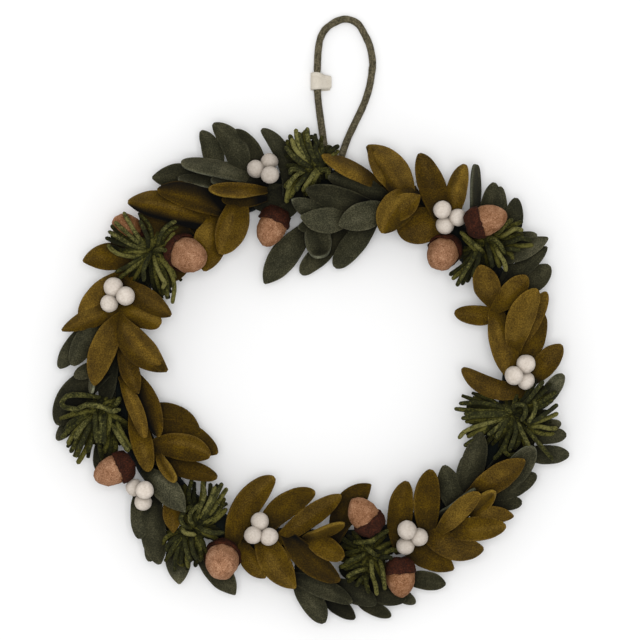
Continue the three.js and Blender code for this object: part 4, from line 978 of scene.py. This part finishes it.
def cell_of(x, y):
    """The column and line of the height map's cell that a place in mm is in."""
    return [np.clip(place / CELL + CELLS / 2, 0, CELLS - 1).astype(int) for place in (x, y)]


tops = np.zeros((CELLS, CELLS))
clouds = []
for piece in woollen:
    points = np.zeros(len(piece.data.vertices) * 3)
    piece.data.vertices.foreach_get("co", points)
    normals = np.zeros(len(points))
    piece.data.vertices.foreach_get("normal", normals)
    points = points.reshape(-1, 3) / MM
    clouds.append((piece, points, normals[2::3]))
    column, line = cell_of(points[:, 0], points[:, 1])
    np.maximum.at(tops, (line, column), points[:, 2])
for piece, points, upward in clouds:
    closed = np.zeros(len(points))
    for way in range(WAYS):
        angle = way * 2 * math.pi / WAYS
        horizon = np.zeros(len(points))
        for away in REACH:
            x = points[:, 0] + away * math.cos(angle)
            y = points[:, 1] + away * math.sin(angle)
            column, line = cell_of(x, y)
            rise = np.maximum(tops[line, column] - points[:, 2] - LEAST_RISE, 0)
            horizon = np.maximum(horizon, (rise * rise / (rise * rise + away * away)) ** 0.8)
        closed += horizon / WAYS
    if "tone" not in piece.data.attributes:
        piece.data.attributes.new("tone", "FLOAT", "POINT")
    tones = np.zeros(len(points))
    piece.data.attributes["tone"].data.foreach_get("value", tones)
    tones = (1 + tones) * (1 - DEPTH_SHADE * closed * np.clip(upward + SIDE_SHARE, 0, 1)) - 1
    piece.data.attributes["tone"].data.foreach_set("value", tones)

# Surface and light: a white board, one big soft light straight above it and an even pale light
# from all round, so the shadows are soft and close under the wreath.
BOARD_SIDE = 8
ROUND_LIGHT = 0.76
LIGHT_SIDE = 1.4
LIGHT_HEIGHT = 2.9
LIGHT_POWER = 42
select_only()
bpy.ops.mesh.primitive_plane_add(size=BOARD_SIDE, location=(0, 0, 0))
floor = bpy.context.object
floor.name = "floor"
floor_material = bpy.data.materials.new("white_board")
floor_material.use_nodes = True
floor_shader = floor_material.node_tree.nodes["Principled BSDF"]
floor_shader.inputs["Base Color"].default_value = linear("#f0f0f0")
floor_shader.inputs["Roughness"].default_value = 0.9
floor.data.materials.append(floor_material)

world = bpy.data.worlds.new("studio")
world.use_nodes = True
world.node_tree.nodes["Background"].inputs["Color"].default_value = (1, 1, 1, 1)
world.node_tree.nodes["Background"].inputs["Strength"].default_value = ROUND_LIGHT
bpy.context.scene.world = world
light_data = bpy.data.lights.new("key", "AREA")
light_data.size = LIGHT_SIDE
light_data.energy = LIGHT_POWER
light = bpy.data.objects.new("key", light_data)
light.location = (0, 0, LIGHT_HEIGHT)
bpy.context.collection.objects.link(light)
bpy.context.scene.view_settings.view_transform = "Standard"
